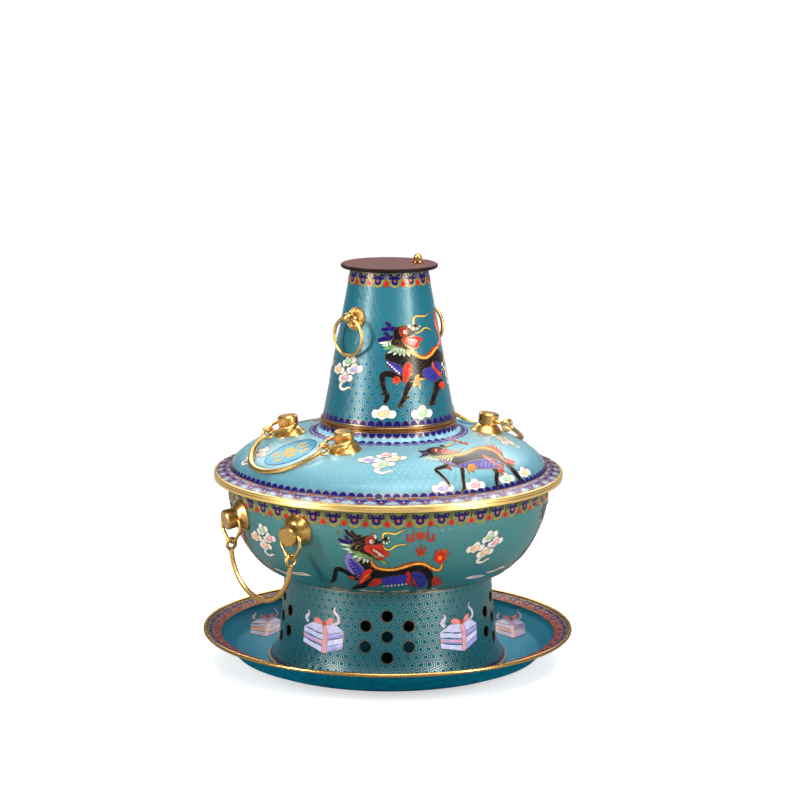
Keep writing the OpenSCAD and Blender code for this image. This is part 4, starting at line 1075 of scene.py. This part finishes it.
def round_the_lid():
    band, pitch = border(edge_face, 0, 50, 161, 0.12, -2)
    head = [(0, 0.05), (0.16, 0.16), (0.34, 0.0), (0.5, 0.2), (0.46, 0.5), (0.28, 0.56), (0.24, 0.84),
            (0.1, 1), (0, 1)]
    top, half = edge_face.length - 1.6, pitch / 2
    band.blob("violet", [(x * pitch * 0.86, top - y * 11) for x, y in mirrored(head)], 1, 0.45, 2)
    band.blob("navy", [(x * pitch * 0.6, top - 1.8 - y * 7.4) for x, y in mirrored(head)], 2, 0.35, 2)
    band.disc("pink", 0, top - 6.4, 1.3, 3, 0.2, 8)
    band.blob("brick", [(half - 2.2, top), (half, top - 4.2), (half + 2.2, top), (half, top + 1.6)], 1, 0.4)
    band.stroke("mint", [(half - 5, 1.6), (half, 6.2), (half + 5, 1.6)], [0.7, 1.5, 0.7], 1, 0.3)
    rings(edge_face, edge_face.length - 0.5)
    scallop_row(*border(lid_face, 0.7, 115, 154, 0.12), 4.6)
    rings(lid_face, 0.4)
    s0 = lid_face.s_at_r(COLLAR_R)
    for s, tall, layer in ((s0, 5.4, 1), (s0, -2.6, 0), (lid_face.length - 0.3, -4.8, 1)):
        scallop_row(*border(lid_face, s, 54, COLLAR_R, 0.16), tall, layer)
    rings(lid_face, s0, 1.7, "lilac", 0.3)

    medallion(drawn(lid_face, -51.2, lid_face.s_at_r(119), 0.14, HALF_TURNS))
    standing_beast(drawn(lid_face, 43, lid_face.s_at_r(122.4), 0.14, HALF_TURNS), 11.2)
    for az, r, k, cores in ((-3, 116, 1.2, ("lilac", "pink", "yellow", "mint")),
                            (-71, 135, 0.95, ("pink", "white", "pink", "mint")),
                            (79.5, 116, 0.8, ("pink", "yellow", "mint", "orange")),
                            (83, 92, 0.5, ("mint", "yellow", "pink", "lilac"))):
        cloud_group(laid(lid_face, az, lid_face.s_at_r(r), 0.14, HALF_TURNS), k, cores, k > 0.6)
    for az, r, core in ((20, 149.5, "lilac"), (33, 149.5, "pink"), (48.5, 149, "mint"),
                        (60.5, 148.5, "yellow")):
        cloud_head(laid(lid_face, az, lid_face.s_at_r(r), 0.14, HALF_TURNS), 0, 0, 22, core)


def round_the_cone():
    scallop_row(*border(cone_face, 1.2, 48, CONE_R, 0.12), 5.5)
    rings(cone_face, 0.9)
    band, pitch = border(cone_face, cone_face.length - 0.8, 15, 38.4, 0.12, 8)
    half = pitch / 2
    olive_field(band, [(half, 0), (half, -9.6), (pitch * 0.3, -13), (0, -14.6)])
    ruyi(band, pitch * 0.74, -1.2, 11)
    drop(band, half, -10.6, 5.4, 7)
    band.stroke("violet", [(half, -0.6), (half - 1.2, -4), (half, -6.6)], [3.4, 2.4, 0.6], 1, 0.3)
    rearing_beast(drawn(cone_face, 17.5, cone_face.s_at(316.2), 0.12, HALF_TURNS), 13.8)
    for az, k, cores in ((-50, 1.08, ("yellow", "green", "lilac", "pink")),
                         (82, 1.0, ("mint", "pink", "yellow", "lilac"))):
        cloud_group(laid(cone_face, az, cone_face.s_at(293), 0.12, HALF_TURNS), k, cores)
    for az, z, core in ((-4, 257, "yellow"), (31.5, 256, "green")):
        cloud_head(laid(cone_face, az, cone_face.s_at(z), 0.12, HALF_TURNS), 0, 0, 24, core)


def round_the_base():
    for az in (-36.5, 42, 111.5, 180, -111.5):
        books(laid(base_face, az, base_face.s_at(44), 0.14), 1.42)
    scallop_row(*border(base_face, 1.0, 96, 109, 0.12), 3.4)
    rings(base_face, 0.9, 0.7)
    rings(base_face, base_face.length - 1.0, 0.7)


def round_the_tray():
    band, pitch = border(tray_top, 0, 52, 171, 0.14)
    wide, half = 15.2, pitch / 2
    low = wide - 4.6
    band.cell("brick", [(-half, wide), (half, wide), (half, low), (0, wide - 1.6), (-half, low)], 0, 0.4, 3)
    ruyi(band, pitch, 1.4, -11.4)
    drop(band, half, 10.2, 5.6, 6.4)
    rings(tray_top, 2.6, 0.7)
    rings(tray_top, wide + 0.3, 0.9)
    for az in (-122, 122):
        books(drawn(tray_top, az, tray_top.s_at_r(146), 0.16), 0.84, 0.16)


def rows_of(verts, rows, seg):
    """Faces of a closed skin over the last rows of seg points each."""
    first = len(verts) - rows * seg
    return [(first + seg * j + i, first + seg * j + (i + 1) % seg, first + seg * (j + 1) + (i + 1) % seg,
             first + seg * (j + 1) + i) for j in range(rows - 1) for i in range(seg)]


def petals_on_the_pulls():
    """Raised petals round the neck of each ring pull's rosette plate."""
    taper = (CONE_R - CONE_TOP_R) / (CHIM_Z - CONE_FOOT)
    tilt = math.atan(taper)
    verts, faces = [], []
    r0 = CONE_R - taper * PULL_Z
    for az in (PULL_AZ, PULL_AZ + math.pi):
        out = Vector((math.sin(az) * math.cos(tilt), -math.cos(az) * math.cos(tilt), math.sin(tilt)))
        side = Vector((math.cos(az), math.sin(az), 0))
        up = out.cross(side)
        root = Vector((r0 * math.sin(az), -r0 * math.cos(az), CONE_FOOT + PULL_Z))
        for c, d in polar(0, 0, 1, 1, 10):
            ray, cross = side * c + up * d, up * c - side * d
            for q in between(0, math.pi / 2, 4):
                lift, wide = math.sin(q), math.cos(q)
                for x, y in polar(7.0, 0, 2.7 * wide, 1.9 * wide, 12):
                    verts.append((root + ray * x + cross * y + out * (1.6 + 1.7 * lift)) * MM)
            faces += rows_of(verts, 5, 12)
    make_object("pull_petals", verts, faces, [MAT["gilt"]], "chimney", smooth_angle=60)


def bell_skirts():
    """A smooth flare over the foot of each stud, from the knob down to the lip on the enamel."""
    profile = [(8.7, 7.6), (10.1, 6.7), (11.1, 5.8), (12.1, 4.6), (13.0, 3.4), (13.9, 2.3), (14.8, 1.4),
               (15.35, 0.8), (15.2, 0.2)]
    seg = 48
    for face, s, middle, half in ((bowl_face, bowl_face.s_at(POT_STUD_Z), POT_BAIL_AZ, POT_HALF_AZ),
                                  (lid_face, lid_face.s_at_r(LID_STUD_R), LID_BAIL_AZ, LID_HALF_AZ)):
        r0, z0, nr, nz = face.at(s)
        verts, faces = [], []
        for az in (middle - half, middle + half, middle + 180 - half, middle + 180 + half):
            az = math.radians(az)
            out = Vector((math.sin(az), -math.cos(az), 0))
            axis = (out * nr + Vector((0, 0, nz))).normalized()
            side = Vector((math.cos(az), math.sin(az), 0))
            up = axis.cross(side)
            root = out * r0 + Vector((0, 0, z0))
            for r, h in profile:
                verts += [(root + axis * h + side * x + up * y) * MM for x, y in polar(0, 0, r, r, seg)]
            faces += rows_of(verts, len(profile), seg)
        name = f"bell_skirts_{face.body}"
        make_object(name, verts, faces, [MAT["gilt"]], face.body, smooth_angle=50)


# ---------------------------------------------------------------- CAD pieces that are shown as they are
def dress():
    finish = {"charcoal_grate": "iron", "fire_tube": "soot", "damper_lug": "copper", "damper_plate": "plate",
              "chimney_base_ring": "bronze"}
    for name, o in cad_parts.items():
        mat = MAT[finish.get(name, "gilt")]
        for slot in o.material_slots:
            slot.material = mat
        if not o.material_slots:
            o.data.materials.append(mat)
        o.data.shade_smooth()
        o.data.set_sharp_from_angle(angle=math.radians(34))


for make in (tray, bowl, lid, cone, stove, dress, round_the_bowl, round_the_lid, round_the_cone,
             round_the_base, round_the_tray, petals_on_the_pulls, bell_skirts, Ornament.build):
    make()


# ---------------------------------------------------------------- stage
def put_on_stage(name, data):
    o = bpy.data.objects.new(name, data)
    bpy.context.collection.objects.link(o)
    return o


def area(name, az, el, dist, w, h, power):
    """A lamp that looks at the middle of the pot."""
    data = bpy.data.lights.new(name, "AREA")
    data.shape = "RECTANGLE"
    data.size, data.size_y = w, h
    data.energy = power
    o = put_on_stage(name, data)
    a, e = math.radians(az), math.radians(el)
    away = Vector((math.sin(a) * math.cos(e), -math.cos(a) * math.cos(e), math.sin(e))) * dist
    middle = Vector((0, 0, 0.2))
    o.matrix_world = Matrix.Translation(middle + away) @ (-away).to_track_quat("-Z", "Y").to_matrix().to_4x4()


cam_data = bpy.data.cameras.new("camera")
cam_data.lens = 127.32
cam_data.sensor_width = 36
cam_data.clip_end = 50
cam = put_on_stage("camera", cam_data)
turned = Matrix.Rotation(math.pi / 2 - PITCH, 4, "X") @ Matrix.Rotation(math.radians(0.3), 4, "Z")
cam.matrix_world = Matrix.Translation((0.01095, -2.7, 0.74775)) @ turned
scene = bpy.context.scene
scene.camera = cam

# The floor is white to the camera and, away from the pot, to glossy rays too. It keeps the pot's shadow.
# Near the pot it is dim to glossy rays: a painted shadow of the pot, seen in reflections.
g = Graph(bpy.data.materials.new("floor"))
distance = g.vec("LENGTH", g.node("NewGeometry", out="Position"), out=1)
far = g.ramp(distance, 0.25, 0.8)
# Painted shadow: glossy rays see the floor dim near the pot.
mirrored_glow = g.ramp(distance, 0.3, 1.0, 0.08, 0.7)
glossy_ray = g.math("MULTIPLY", g.node("LightPath", out="Is Glossy Ray"), mirrored_glow)
shown = g.math("MAXIMUM", g.node("LightPath", out="Is Camera Ray"), glossy_ray)
near_tone = g.mix(far, (0.8, 0.8, 0.81, 1), (0, 0, 0, 1))
glow = g.math("ADD", g.math("MULTIPLY", far, 0.45), 0.55)
g.surface(Roughness=0.9, Specular_IOR_Level=0.2, Emission_Color=(1, 1, 1, 1),
          Base_Color=g.mix(shown, (0.18, 0.18, 0.18, 1), near_tone),
          Emission_Strength=g.math("MULTIPLY", shown, glow))
floor_mesh = bpy.data.meshes.new("floor")
floor_mesh.from_pydata([(-8, -6, 0), (8, -6, 0), (8, 10, 0), (-8, 10, 0)], [], [(0, 1, 2, 3)])
floor_mesh.materials.append(g.block)
put_on_stage("floor", floor_mesh)

area("strip_left", -56, 14, 2.0, 0.22, 1.5, 38)
area("strip_right", 52, 14, 2.0, 0.22, 1.5, 38)
area("top_soft", 30, 70, 2.2, 2.0, 1.4, 42)
area("front_fill", 0, 42, 3.2, 1.4, 0.8, 22)
area("back_panel", 180, 42, 2.2, 2.6, 1.0, 40)

# The world is white to the camera and lights the pot dimly.
g = Graph(bpy.data.worlds.new("world"))
scene.world = g.block
g.tree.nodes.clear()
dim = g.node("Background", {0: (0.9, 0.95, 1, 1), 1: 0.16})
white = g.node("Background", {0: (1, 1, 1, 1), 1: 1.0})
mixed = g.node("MixShader", {0: g.node("LightPath", out="Is Camera Ray"), 1: dim, 2: white})
g.feed(g.tree.nodes.new("ShaderNodeOutputWorld").inputs[0], mixed)
scene.view_settings.view_transform = "Standard"
